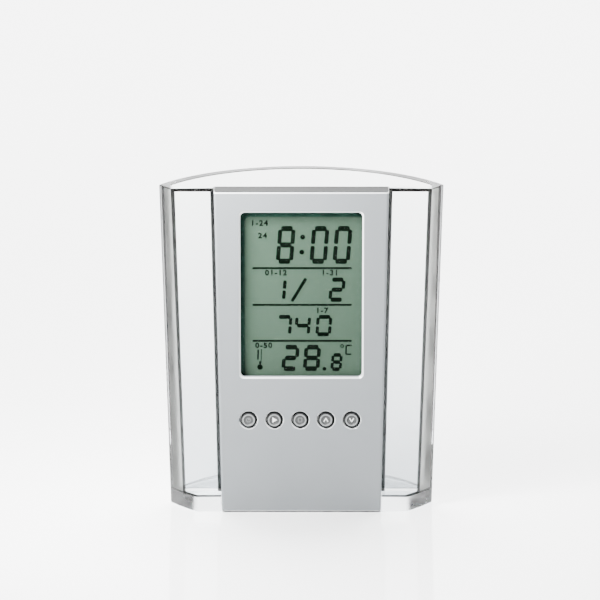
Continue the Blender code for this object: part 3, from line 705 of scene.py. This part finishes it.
# Slot 1 paints the bezel's top face dark grey: painted shade.
SHADED_TOP = 1
# Slot 2 paints the chamfers round the window and the button holes, and the rounded upper edge of the face,
# a lighter silver: painted highlight.
PAINTED_HIGHLIGHT = 2
PAINT_UNEVENNESS = 0.04
BUTTONS = ("mode", "set", "alarm", "up", "down")
SCREW_NUMBERS = (1, 2, 3, 4)
BEZEL_PAINTS = (
    # name, darker and lighter shade, roughness, metallic share, gloss
    ("satin_silver_paint", (0.185, 0.2, 0.21), (0.195, 0.21, 0.22), 0.45, 0.25, 0.5),
    ("shaded_top", (0.02, 0.0205, 0.0205), (0.024, 0.0245, 0.0245), 0.6, 0, 0.05),
    ("painted_highlight_silver", (0.55, 0.57, 0.57), (0.6, 0.62, 0.62), 0.3, 0.1, 0.5),
)

window_low_z = CUP_HEIGHT - WINDOW_BELOW_RIM - WINDOW_HEIGHT
window_high_z = CUP_HEIGHT - WINDOW_BELOW_RIM
window_middle_z = (window_low_z + window_high_z) / 2


def middle_of(node):
    low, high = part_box(node)
    return (low + high) / 2


def rod(name, radius, front, back, x, z, sides=64):
    """A round bar along Y."""
    bpy.ops.mesh.primitive_cylinder_add(
        vertices=sides,
        radius=radius,
        depth=back - front,
        location=(x, (front + back) / 2, z),
        rotation=(math.radians(90), 0, 0),
    )
    return named(name)


def depth_of(edge):
    """How far an edge runs from front to back."""
    return abs(edge.verts[0].co.y - edge.verts[1].co.y)


def flare(tool, y, half_width, half_height, middle_x, middle_z, width):
    """Widens a cutting tool in front of y, so that it leaves a chamfer of that width."""
    pick(tool, "FACE", looks_ahead)
    bpy.ops.mesh.extrude_region_move(TRANSFORM_OT_translate={"value": (0, -width, 0)})
    bpy.ops.transform.resize(
        value=(1 + width / half_width, 1, 1 + width / half_height),
        center_override=(middle_x, y, middle_z),
    )
    bpy.ops.mesh.extrude_region_move(TRANSFORM_OT_translate={"value": (0, -OVERRUN, 0)})
    put_down()


def window_tool():
    back = PANEL_Y + PLATE_THICKNESS + OVERRUN
    front = PANEL_Y + WINDOW_CHAMFER
    half = WINDOW_WIDTH / 2
    tool = block("window_tool", (-half, front, window_low_z), (half, back, window_high_z))
    bevel(tool, lambda edge: depth_of(edge) > PLATE_THICKNESS / 2, WINDOW_CORNER, segments=10)
    flare(tool, front, half, WINDOW_HEIGHT / 2, 0, window_middle_z, WINDOW_CHAMFER)
    return tool


def hole_tool(x, z):
    front = PANEL_Y + HOLE_CHAMFER
    tool = rod("hole_tool", HOLE_RADIUS, front, PANEL_Y + PLATE_THICKNESS + OVERRUN, x, z)
    flare(tool, front, HOLE_RADIUS, HOLE_RADIUS, x, z, HOLE_CHAMFER)
    return tool


def on_face_end(edge, at_top):
    """Takes the edges at the upper or the lower end of the bezel's face."""
    return turns(edge) and not upright(edge) and both_ends(
        edge, lambda at: at.y < PANEL_Y + BEZEL_SIDE_ROUND + NEAR and (at.z > CUP_HEIGHT / 2) == at_top)


def on_bezel_top(face):
    return face.normal.z > MAINLY and face.calc_center_median().z > CUP_HEIGHT - FIT_GAP


def on_chamfer(face):
    """Takes the sloping faces round the window and the button holes."""
    middle = face.calc_center_median()
    return (-MAINLY < face.normal.y < -HALF_TURNED and PANEL_Y < middle.y < PANEL_Y + WINDOW_CHAMFER
            and abs(middle.x) < WINDOW_WIDTH / 2 + WINDOW_CHAMFER
            and middle.z < window_high_z + WINDOW_CHAMFER)


def mould_bezel():
    bezel = leaning_block("silver_bezel", bezel_low.z, CUP_HEIGHT, PANEL_Y, WALL_INSIDE_Y, 0)
    open_slots(bezel, len(BEZEL_PAINTS))
    bevel(bezel, lambda edge: upright(edge) and both_ends(
        edge, lambda at: at.y < PANEL_Y + NEAR), BEZEL_SIDE_ROUND, segments=6)
    for at_top, slot in ((True, PAINTED_HIGHLIGHT), (False, 0)):
        bevel(bezel, lambda edge: on_face_end(edge, at_top), BEZEL_END_ROUND, segments=4, slot=slot)
    below_top = CUP_HEIGHT - BEZEL_TOP_WALL
    behind = WALL_INSIDE_Y + OVERRUN
    inside = PANEL_Y + PLATE_THICKNESS
    carve(bezel, leaning_block("room", bezel_low.z + BEZEL_WALL, below_top, inside, behind, BEZEL_WALL))
    side = PANEL_TOP_HALF_WIDTH + OVERRUN
    shoulder_low = (-side, PANEL_Y + BEZEL_SIDE_DEPTH, -OVERRUN)
    carve(bezel, block("shoulder", shoulder_low, (side, behind, below_top)))
    boss_front, boss_back = inside - FIT_GAP, PANEL_Y + BOSS_DEPTH
    for number in SCREW_NUMBERS:
        place = middle_of("case_screw_%d" % number)
        carve(bezel, rod("boss", BOSS_RADIUS, boss_front, boss_back, place.x, place.z), "UNION")
        carve(bezel, rod("pilot", PILOT_RADIUS, PANEL_Y + PILOT_START, behind, place.x, place.z))
    carve(bezel, window_tool())
    for name in BUTTONS:
        place = middle_of("button_" + name)
        carve(bezel, hole_tool(place.x, place.z))
    clean_mesh(bezel)
    paint(bezel, SHADED_TOP, on_bezel_top)
    paint(bezel, PAINTED_HIGHLIGHT, on_chamfer)
    smooth(bezel)
    return bezel


def silver_paint(name, dark, light, roughness, metallic, gloss):
    """Sprayed satin silver: fine flakes under a thin lacquer, slightly uneven from stroke to stroke."""
    finish, where = new_finish(name, {"Metallic": metallic, "Specular IOR Level": gloss})
    cloud_colour(finish, where, 0.02, dark, light)
    cloud_roughness(finish, where, 0.0004, roughness - PAINT_UNEVENNESS, roughness + PAINT_UNEVENNESS)
    relief(finish, where, 0.00012, 0.000004)
    return finish


bezel = mould_bezel()
for slot, values in enumerate(BEZEL_PAINTS):
    bezel.data.materials[slot] = silver_paint(*values)
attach(bezel, "clock")
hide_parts("front_bezel")

# Display
# A clear pane behind the window, and behind it the liquid crystal cell: two glasses with a grey-green
# polariser. Its black segments are printed thin on the front glass. In the same thin layer lies a dark
# green sheet whose opening is shifted right and down from the window: painted shadow of the window's top
# and left edges.

MM = 0.001
LAYER_THICKNESS = 0.05 * MM
# The painted shadow band's width at the window's left and top, and the corner of its opening.
SHADOW_LEFT = 1.3 * MM
SHADOW_TOP = 2.0 * MM
SHADOW_CORNER = 1.8 * MM
SLANT = math.tan(math.radians(4.5))
UPRIGHT_SHARE = 0.76
ROUNDED_TIP = 0.32
POINTED_TIP = 0.45
FLAT_GAP_SHARE = 0.2
UPRIGHT_GAP_SHARE = 0.92
DIVIDER_ENDS = (-15.4, 15.9)
DIVIDER_HEIGHTS = (34.9, 22.9, 11.1)
DIVIDER_STROKE = 0.65
FIGURES = (
    # figures with their middles, foot, width, height, stroke
    ((("8", -4.92), ("0", 5.68), ("0", 12.94)), 36.3, 5.45, 12.3, 1.7),
    ((("1", -7.3), ("2", 11.24)), 23.9, 4.95, 7.95, 1.4),
    ((("7", -5.5), ("4", 0.4), ("0", 7.1)), 12.6, 4.95, 7.0, 1.3),
    ((("2", -3.43), ("8", 3.36)), 1.15, 5.25, 8.65, 1.55),
    ((("8", 11.15),), 1.15, 3.55, 5.9, 1.2),
)
DOTS = (
    # place and radius of the colon's dots, the decimal point and the thermometer's bulb
    ((0.42, 45.0), 0.78),
    ((0.14, 40.1), 0.78),
    ((7.3, 1.9), 0.6),
    ((-13.1, 2.5), 0.9),
)
STROKES = (
    # ends and stroke of the slash, the unit mark and the thermometer
    ((-3.0, 24.05), (1.45, 31.55), 1.0),
    ((15.9, 9.6), (14.2, 9.6), 0.45),
    ((14.2, 9.6), (14.1, 6.7), 0.45),
    ((14.1, 6.7), (15.8, 6.7), 0.45),
    ((-13.75, 4.9), (-13.65, 8.2), 0.5),
    ((-13.1, 3.0), (-13.1, 4.4), 0.5),
    ((-12.75, 3.6), (-12.6, 8.4), 0.25),
)
DEGREE_PLACE = (12.9, 9.4)
DEGREE_RADIUS = 0.6
DOT_SIDES = 32
NOTE_HEIGHT = 1.85 * MM
NOTE_BOLDNESS = 0.032
NOTE_SPACING = 1.25
NOTES = (
    # number, middle and foot
    ("1-24", -13.2, 48.65),
    ("24", -12.2, 44.6),
    ("01-12", -8.0, 32.5),
    ("1-31", 9.0, 32.5),
    ("1-7", 6.5, 20.15),
    ("0-50", -11.9, 8.7),
)
LIT = {"0": "abcdef", "1": "bc", "2": "abged", "4": "fgbc", "7": "abc", "8": "abcdefg"}

lcd_low, lcd_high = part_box("lcd_glass")
layer_back = lcd_low.y - LAYER_THICKNESS / 2
layer_front = layer_back - LAYER_THICKNESS
print_origin = (0, (layer_front + layer_back) / 2, window_low_z)


def copied(piece, name, shift):
    """A copy of a piece, with a mesh of its own, moved by a shift."""
    only(piece)
    bpy.ops.object.duplicate()
    bpy.context.active_object.location = shift
    return named(name)


def flat_bar(start, end, depth, width, overlap, cut, segments, origin):
    """A flat bar with cut corners between two places, given in millimetres across and up from an origin."""
    run = Vector((end[0] - start[0], 0, end[1] - start[1])) * MM
    middle = Vector((start[0] + end[0], 0, start[1] + end[1])) * MM / 2
    bpy.ops.mesh.primitive_cube_add(size=1, location=(0, 0, 0), scale=(run.length + overlap, depth, width))
    piece = named("bar")
    bevel(piece, lambda edge: depth_of(edge) > depth / 2, cut, segments)
    piece.rotation_euler = (0, -math.atan2(run.z, run.x), 0)
    piece.location = (origin[0] + middle.x, origin[1], origin[2] + middle.z)
    settle()
    return piece


def bar(start, end, stroke, tip_share=ROUNDED_TIP):
    """A printed bar with narrowed ends between two places on the display."""
    width = stroke * MM
    cut = width * tip_share
    return flat_bar(start, end, LAYER_THICKNESS, width, overlap=0, cut=cut, segments=2, origin=print_origin)


def dot(place, radius):
    x, z = place[0] * MM, window_low_z + place[1] * MM
    return rod("dot", radius * MM, layer_front, layer_back, x, z, DOT_SIDES)


def figures(row, foot, width, height, stroke):
    """Seven-segment figures: one flat bar and one leaning upright bar, copied to each lit place."""
    upright_stroke = stroke * UPRIGHT_SHARE
    half = (width - upright_stroke) / 2
    reach = half - upright_stroke * FLAT_GAP_SHARE
    centre, top = height / 2, height - stroke / 2
    tall = centre - stroke * UPRIGHT_GAP_SHARE
    raised = centre / 2 - stroke / 4
    flat = bar((-reach, 0), (reach, 0), stroke)
    middle_flat = bar((-reach, 0), (reach, 0), stroke, POINTED_TIP)
    lean = SLANT * tall / 2
    standing = bar((-lean, -tall / 2), (lean, tall / 2), upright_stroke)
    places = {
        "a": (flat, 0, top - centre),
        "g": (middle_flat, 0, 0),
        "d": (flat, 0, centre - top),
        "f": (standing, -half, raised),
        "b": (standing, half, raised),
        "e": (standing, -half, -raised),
        "c": (standing, half, -raised),
    }
    shapes = []
    for figure, middle in row:
        for letter in LIT[figure]:
            model, across, up = places[letter]
            shift = Vector((middle + across + SLANT * up, 0, foot + centre + up)) * MM
            shapes.append(copied(model, "segment", shift))
    for model in (flat, middle_flat, standing):
        bpy.data.objects.remove(model, do_unlink=True)
    return shapes


def note(words, middle, foot):
    """A small printed number, set in a plain face."""
    bpy.ops.object.text_add(location=(0, 0, 0), rotation=(math.radians(90), 0, 0))
    piece = bpy.context.active_object
    piece.data.body = words
    piece.data.align_x = "CENTER"
    piece.data.offset = NOTE_BOLDNESS
    piece.data.space_character = NOTE_SPACING
    only(piece)
    bpy.ops.object.convert(target="MESH")
    piece = named("note")
    heights = [corner.co.z for corner in piece.data.vertices]
    low = min(heights)
    size = NOTE_HEIGHT / (max(heights) - low)
    solidify = piece.modifiers.new("ink", "SOLIDIFY")
    solidify.thickness = LAYER_THICKNESS / size
    solidify.offset = 0
    bpy.ops.object.modifier_apply(modifier=solidify.name)
    piece.scale = (size, size, size)
    place_z = window_low_z + foot * MM - low * size
    piece.location = (middle * MM, print_origin[1], place_z)
    settle()
    return piece


def joined(name, pieces):
    """Makes several meshes one piece."""
    only(pieces[0])
    for piece in pieces:
        piece.select_set(True)
    bpy.ops.object.join()
    return named(name)


def print_segments():
    left, right = DIVIDER_ENDS
    shapes = [bar((left, z), (right, z), DIVIDER_STROKE) for z in DIVIDER_HEIGHTS]
    for row in FIGURES:
        shapes += figures(*row)
    shapes += [dot(*values) for values in DOTS]
    shapes += [bar(*values) for values in STROKES]
    ring = dot(DEGREE_PLACE, DEGREE_RADIUS)
    x, z = DEGREE_PLACE[0] * MM, window_low_z + DEGREE_PLACE[1] * MM
    hole_front, hole_back = layer_front - OVERRUN, layer_back + OVERRUN
    carve(ring, rod("ring_hole", DEGREE_RADIUS * MM / 2, hole_front, hole_back, x, z, DOT_SIDES))
    notes = [note(*values) for values in NOTES]
    return joined("display_segments", shapes + [ring] + notes)


# A dark green sheet with an opening shifted right and down from the window: painted shadow of the window's
# top and left edges.
def lay_painted_shadow():
    front, back = layer_front, layer_back
    edge_shadow = block("painted_window_shadow", (lcd_low.x, front, lcd_low.z), (lcd_high.x, back, lcd_high.z))
    half = WINDOW_WIDTH / 2
    low = (-half + SHADOW_LEFT, front - OVERRUN, window_low_z - SHADOW_TOP)
    high = (half + SHADOW_LEFT, back + OVERRUN, window_high_z - SHADOW_TOP)
    opening = block("shadow_opening", low, high)
    bevel(opening, lambda edge: depth_of(edge) > OVERRUN, SHADOW_CORNER, segments=8)
    carve(edge_shadow, opening)
    return edge_shadow


def polariser():
    """Grey-green, with the very faint clouding and grain of the film."""
    finish, where = new_finish("polariser", {"Specular IOR Level": 0.05})
    cloud_colour(finish, where, 0.03, (0.029, 0.046, 0.033), (0.031, 0.05, 0.036))
    cloud_roughness(finish, where, 0.001, 0.35, 0.45)
    relief(finish, where, 0.0002, 0.000002)
    return finish


def ink_and_painted_shadow(name, dark, light):
    """The near black of the lit segments, and the dark green of the painted shadow at the window's edges.
    """
    finish, where = new_finish(name, {"Specular IOR Level": 0.02})
    cloud_colour(finish, where, 0.004, dark, light)
    cloud_roughness(finish, where, 0.001, 0.4, 0.5)
    return finish


segments = print_segments()
put_on(segments, ink_and_painted_shadow("segment_black", (0.0008, 0.002, 0.0012), (0.0012, 0.003, 0.0018)))
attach(segments, "clock")
# The dark green sheet is painted shadow of the window's edges.
edge_shadow = lay_painted_shadow()
put_on(edge_shadow, ink_and_painted_shadow("painted_shadow_green", (0.011, 0.033, 0.024), (0.013, 0.038, 0.028)))
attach(edge_shadow, "clock")
pane = clear_finish("window_pane", (0.97, 0.99, 0.98), 0.005, ior=1.04, waviness=0.0000005, wave_size=0.01)
put_on(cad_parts["window_lens"], pane)
put_on(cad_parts["lcd_glass"], polariser())

# Push buttons
# Five moulded caps, silver painted, with a rounded rim round a shallow dish, and a pale printed
# mark in the dish. A flange behind the plate keeps each cap in its hole.

CAP_RADIUS = 2.27 * MM
CAP_ROUND = 0.3 * MM
CAP_RIM = 0.4 * MM
CAP_SIDES = 96
SMALL_SIDES = 48
FLANGE_THICKNESS = 0.9 * MM
STEM_RADIUS = 1.2 * MM
# Slot 1 leaves the cap's side and its flange unpainted and makes them near black: bare plastic, darkened
# further as painted shade in the gap round the cap.
SIDE_WITH_PAINTED_SHADE = 1
DISH = 2
DISH_SLOPE = 0.2 * MM
DISH_DEPTH = 0.25 * MM
MARK_RELIEF = 0.04 * MM
ICON_STROKE = 0.28 * MM
ICON_OVERLAP = ICON_STROKE * 0.7
ICON_TIP = ICON_STROKE * 0.45
RING_WIDTH = ICON_STROKE * 0.8
RING_RADIUS = 0.75 * MM
HANDS = ((0, 0), (0, 0.5), (0.35, 0.15))
ARROW_RADIUS = 1.0 * MM
ARROW_SHIFT = 0.1 * MM
LINE_MARKS = {
    "alarm": ((-0.55, 0.65), (0.55, 0.65), (0.55, -0.65), (-0.55, -0.65), (-0.55, 0.65)),
    "up": ((-0.6, -0.5), (0.0, 0.6), (0.6, -0.5)),
    "down": ((-0.6, 0.5), (0.0, -0.6), (0.6, 0.5)),
}
FAINT_MARKS = ("mode", "alarm")
CAP_PAINTS = (
    # name, darker and lighter shade, roughness, metallic share, gloss
    ("cap_paint", (0.19, 0.2, 0.2), (0.22, 0.23, 0.23), 0.38, 0.3, 0.5),
    ("bare_side_with_painted_shade", (0.015, 0.016, 0.016), (0.02, 0.021, 0.021), 0.6, 0, 0.1),
    ("dish_paint", (0.04, 0.042, 0.042), (0.048, 0.05, 0.05), 0.5, 0.15, 0.5),
)


def away(corner, place):
    return math.hypot(corner.x - place.x, corner.z - place.z)


def in_dish(face, front, place):
    """Takes the floor and the sloping side of the dish of the cap at a place."""
    middle = face.calc_center_median()
    return (face.normal.y < -SLIGHTLY and front + NEAR < middle.y < front + CAP_ROUND
            and away(middle, place) < CAP_RADIUS - CAP_ROUND - CAP_RIM)


def mould_cap(name, low, high):
    """A cap turned about Y: its face is inset twice, for the rim and the sloping side of the dish."""
    place = (low + high) / 2
    front = low.y
    flange_front = PANEL_Y + PLATE_THICKNESS + FIT_GAP
    flange_back = flange_front + FLANGE_THICKNESS
    cap = rod(name, CAP_RADIUS, front, flange_front + FIT_GAP, place.x, place.z, CAP_SIDES)
    pick(cap, "FACE", looks_ahead)
    bpy.ops.mesh.inset(thickness=CAP_ROUND + CAP_RIM)
    bpy.ops.mesh.inset(thickness=DISH_SLOPE, depth=-DISH_DEPTH)
    put_down()

    def round_the_face(at):
        return at.y < front + FIT_GAP / 3 and away(at, place) > CAP_RADIUS - FIT_GAP

    bevel(cap, lambda edge: both_ends(edge, round_the_face), CAP_ROUND, segments=5)
    flange_radius = (high.x - low.x) / 2
    flange = rod("flange", flange_radius, flange_front, flange_back, place.x, place.z, CAP_SIDES)
    carve(cap, flange, "UNION")
    stem = rod("stem", STEM_RADIUS, flange_front + FIT_GAP, high.y, place.x, place.z, SMALL_SIDES)
    carve(cap, stem, "UNION")
    clean_mesh(cap)
    open_slots(cap, len(CAP_PAINTS))
    paint(cap, SIDE_WITH_PAINTED_SHADE, lambda face: away(face.calc_center_median(), place) > CAP_RADIUS - CAP_ROUND)
    paint(cap, DISH, lambda face: in_dish(face, front, place))
    smooth(cap)
    return cap


def ribbon(corners, place, y):
    """Bars along a line of corners, given in millimetres from a button's middle."""
    origin = (place.x, y, place.z)
    return [
        flat_bar(start, end, MARK_RELIEF, ICON_STROKE, ICON_OVERLAP, ICON_TIP, segments=3, origin=origin)
        for start, end in zip(corners, corners[1:])
    ]


def arrow_head(place, y):
    """A solid triangle that points to the right."""
    bpy.ops.mesh.primitive_cylinder_add(vertices=3, radius=ARROW_RADIUS, depth=MARK_RELIEF)
    piece = named("arrow")
    piece.rotation_euler = (math.radians(90), math.radians(90), 0)
    piece.location = (place.x - ARROW_SHIFT, y, place.z)
    settle()
    return [piece]


def clock_mark(place, y):
    """A small clock: a ring with two hands."""
    front, back = y - MARK_RELIEF / 2, y + MARK_RELIEF / 2
    ring = rod("ring", RING_RADIUS, front, back, place.x, place.z, SMALL_SIDES)
    inner = RING_RADIUS - RING_WIDTH
    carve(ring, rod("ring_hole", inner, y - OVERRUN, y + OVERRUN, place.x, place.z, SMALL_SIDES))
    return [ring] + ribbon(HANDS, place, y)


def button_mark(name, place, y):
    """The mark of a button: a small clock, an arrow head, a sheet, or an angle that points up or down."""
    if name == "mode":
        shapes = clock_mark(place, y)
    elif name == "set":
        shapes = arrow_head(place, y)
    else:
        shapes = ribbon(LINE_MARKS[name], place, y)
    return joined("mark_" + name, shapes)


def mark_paint(name, dark, light):
    """Printed ink, white or faint."""
    finish, where = new_finish(name)
    cloud_colour(finish, where, 0.0008, dark, light)
    cloud_roughness(finish, where, 0.0005, 0.45, 0.6)
    return finish


white_mark = mark_paint("white_mark", (0.72, 0.74, 0.73), (0.8, 0.82, 0.81))
faint_mark = mark_paint("faint_mark", (0.11, 0.115, 0.115), (0.13, 0.135, 0.135))
first_low, first_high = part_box("button_" + BUTTONS[0])
first_cap = mould_cap("cap_" + BUTTONS[0], first_low, first_high)
for slot, values in enumerate(CAP_PAINTS):
    first_cap.data.materials[slot] = silver_paint(*values)
for name in BUTTONS:
    low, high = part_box("button_" + name)
    place = (low + high) / 2
    cap = first_cap if name == BUTTONS[0] else copied(first_cap, "cap_" + name, low - first_low)
    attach(cap, name + "_key")
    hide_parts("button_" + name)
    mark = button_mark(name, place, low.y + DISH_DEPTH - MARK_RELIEF / 2)
    put_on(mark, faint_mark if name in FAINT_MARKS else white_mark)
    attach(mark, name + "_key")

# Rear cover and battery door
# The back shell of the module and the sliding door of its battery compartment, moulded in grey
# plastic with a fine spark-eroded texture. Their edges are slightly rounded.

COVER_EDGE_ROUND = 0.2 * MM
DOOR_EDGE_ROUND = 0.12 * MM
MOULD_UNEVENNESS = 0.05
SHELL_FLAT_WITHIN = math.radians(0.2)


def round_edges(piece, width):
    """Rounds the edges at which the surface turns."""
    rounding = piece.modifiers.new("round", "BEVEL")
    rounding.width = width
    rounding.segments = 2
    rounding.limit_method = "ANGLE"
    rounding.angle_limit = SHARP_TURN
    rounding.miter_outer = "MITER_ARC"
    rounding.loop_slide = False
    only(piece)
    bpy.ops.object.modifier_apply(modifier=rounding.name)


def softened_copy(node, name, width):
    """A copy of a node with its loose triangles merged, its flat faces joined and its edges rounded."""
    only(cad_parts[node])
    bpy.ops.object.duplicate()
    piece = bpy.context.active_object
    piece.parent = None
    piece.name = name
    piece.data.name = name
    pick(piece, "VERT", lambda corner: True)
    bpy.ops.mesh.remove_doubles(threshold=MERGE_WITHIN)
    bpy.ops.mesh.normals_make_consistent(inside=False)
    put_down()
    round_edges(piece, width)
    pick(piece, "FACE", lambda face: True)
    bpy.ops.mesh.dissolve_limited(angle_limit=SHELL_FLAT_WITHIN)
    bpy.ops.mesh.quads_convert_to_tris(quad_method="BEAUTY", ngon_method="BEAUTY")
    put_down()
    smooth(piece)
    return piece


def eroded_plastic(name, dark, light, roughness):
    """Moulded plastic with the fine even texture of a spark-eroded tool."""
    finish, where = new_finish(name)
    cloud_colour(finish, where, 0.015, dark, light)
    cloud_roughness(finish, where, 0.001, roughness - MOULD_UNEVENNESS, roughness + MOULD_UNEVENNESS)
    relief(finish, where, 0.00025, 0.00001, detail=3.0)
    return finish


grey_moulding = eroded_plastic("grey_moulding", (0.2, 0.205, 0.21), (0.23, 0.235, 0.24), 0.5)
for node, name, width, body in (
    ("rear_cover", "grey_back_shell", COVER_EDGE_ROUND, "clock"),
    ("battery_door", "sliding_door", DOOR_EDGE_ROUND, "door"),
):
    piece = softened_copy(node, name, width)
    put_on(piece, grey_moulding)
    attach(piece, body)
    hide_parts(node)

# Case screws
# Four nickel-plated pan-head screws hold the back shell to the bezel's bosses. Their heads have
# a cross recess and sit in counterbores.

SCREW_HEAD_RADIUS = 1.7 * MM
SCREW_HEAD_HEIGHT = 1.2 * MM
SCREW_SHANK_RADIUS = 0.8 * MM
SHANK_SIDES = 32
SCREW_CROWN = 0.45 * MM
CROSS_LENGTH = 1.8 * MM
CROSS_WIDTH = 0.42 * MM
CROSS_DEPTH = 0.55 * MM


def turn_screw(name, low, high):
    """A screw along Y with a crowned head, whose cross recess is cut by two blocks."""
    x, z = (low.x + high.x) / 2, (low.z + high.z) / 2
    middle = Vector((x, 0, z))
    head_front = high.y - SCREW_HEAD_HEIGHT
    just_inside = FIT_GAP / 10
    screw = rod(name, SCREW_HEAD_RADIUS, head_front, high.y, x, z)

    def round_the_head(at):
        return at.y > high.y - just_inside and away(at, middle) > SCREW_HEAD_RADIUS - just_inside

    bevel(screw, lambda edge: both_ends(edge, round_the_head), SCREW_CROWN, segments=5)
    shank_back = high.y - SCREW_HEAD_HEIGHT / 2
    carve(screw, rod("shank", SCREW_SHANK_RADIUS, low.y, shank_back, x, z, SHANK_SIDES), "UNION")
    floor_y, above_y = high.y - CROSS_DEPTH, high.y + OVERRUN
    for across, up in ((CROSS_LENGTH, CROSS_WIDTH), (CROSS_WIDTH, CROSS_LENGTH)):
        corner = Vector((across / 2, 0, up / 2))
        carve(screw, block("cross", Vector((x, floor_y, z)) - corner, Vector((x, above_y, z)) + corner))
    clean_mesh(screw)
    smooth(screw)
    return screw


def plated_steel(name, dark, light):
    """Nickel plate, with fine marks from handling."""
    finish, where = new_finish(name, {"Metallic": 1})
    cloud_colour(finish, where, 0.003, dark, light)
    cloud_roughness(finish, where, 0.0006, 0.22, 0.38)
    relief(finish, where, 0.0002, 0.000002)
    return finish


nickel = plated_steel("nickel_plate", (0.5, 0.5, 0.48), (0.6, 0.6, 0.58))
first_screw = turn_screw("nickel_screw_1", *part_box("case_screw_1"))
put_on(first_screw, nickel)
for number in SCREW_NUMBERS:
    node = "case_screw_%d" % number
    screw = first_screw
    if number > 1:
        shift = middle_of(node) - middle_of("case_screw_1")
        screw = copied(first_screw, "nickel_screw_%d" % number, shift)
    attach(screw, "clock")
    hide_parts(node)

# Button cells
# Two steel cells side by side in the compartment: a can with a rounded edge, and a smaller
# cap with a crimped seal round it on the side that faces the module.

CELL_ROUND = 0.3 * MM
CELL_SEAL = 0.45 * MM
CELL_STEP = 0.25 * MM
CELL_SIDES = 128


def press_cell(name, low, high):
    """A cell along Y: its front is inset for the seal, the crimp round it, and the cap."""
    x, z = (low.x + high.x) / 2, (low.z + high.z) / 2
    cell = rod(name, (high.z - low.z) / 2, low.y + CELL_STEP, high.y, x, z, CELL_SIDES)
    bevel(cell, lambda edge: depth_of(edge) < FIT_GAP, CELL_ROUND, segments=4)
    pick(cell, "FACE", looks_ahead)
    bpy.ops.mesh.inset(thickness=CELL_SEAL)
    bpy.ops.mesh.inset(thickness=CELL_STEP / 2, depth=-CELL_STEP / 2)
    bpy.ops.mesh.inset(thickness=CELL_STEP / 2, depth=CELL_STEP * 1.5)
    put_down()
    smooth(cell)
    return cell


first_cell = press_cell("steel_cell_1", *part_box("button_cell_1"))
put_on(first_cell, nickel)
shift = middle_of("button_cell_2") - middle_of("button_cell_1")
for node, cell in (
    ("button_cell_1", first_cell),
    ("button_cell_2", copied(first_cell, "steel_cell_2", shift)),
):
    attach(cell, "clock")
    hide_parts(node)

# Hidden works
# What the module holds behind its display: the board with its parts and switches, the strips that
# feed the cell, the foil, the frame and the contacts. They keep their shapes and get real finishes.

FOIL_STRETCH = 40


def solder_mask():
    """Green lacquer over copper, with faint track lines."""
    finish, where = new_finish("solder_mask")
    cloud_colour(finish, where, 0.0012, (0.012, 0.11, 0.04), (0.03, 0.2, 0.08))
    cloud_roughness(finish, where, 0.004, 0.3, 0.45)
    relief(finish, where, 0.0008, 0.00001)
    return finish


def foil_finish():
    """Brushed aluminium foil."""
    finish, where = new_finish("brushed_foil", {"Metallic": 0.8})
    stretch = finish.node_tree.nodes.new("ShaderNodeMapping")
    stretch.inputs["Scale"].default_value = (1, 1, FOIL_STRETCH)
    finish.node_tree.links.new(where, stretch.inputs["Vector"])
    cloud_colour(finish, stretch.outputs["Vector"], 0.006, (0.6, 0.62, 0.6), (0.75, 0.77, 0.75))
    cloud_roughness(finish, stretch.outputs["Vector"], 0.006, 0.3, 0.5)
    return finish


black_resin = eroded_plastic("black_resin", (0.008, 0.008, 0.008), (0.015, 0.015, 0.015), 0.35)
contact_rubber = eroded_plastic("contact_rubber", (0.025, 0.025, 0.025), (0.04, 0.04, 0.04), 0.75)
frame_white = eroded_plastic("frame_white", (0.72, 0.72, 0.7), (0.78, 0.78, 0.76), 0.5)
spring_brass = plated_steel("spring_brass", (0.6, 0.45, 0.2), (0.75, 0.58, 0.3))
hidden = {
    "circuit_board": solder_mask(),
    "lcd_reflector": foil_finish(),
    "lcd_frame": frame_white,
    "zebra_strip_lower": contact_rubber,
    "zebra_strip_upper": contact_rubber,
    "chip_blob": black_resin,
    "temperature_sensor": black_resin,
    "quartz_crystal": nickel,
    "piezo_buzzer": spring_brass,
    "contact_negative": spring_brass,
    "contact_positive": spring_brass,
    "contact_bridge": spring_brass,
}
for name in BUTTONS:
    hidden["tact_switch_" + name] = nickel
    hidden["switch_plunger_" + name] = black_resin
for node, finish in hidden.items():
    put_on(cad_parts[node], finish)

bpy.context.view_layer.update()
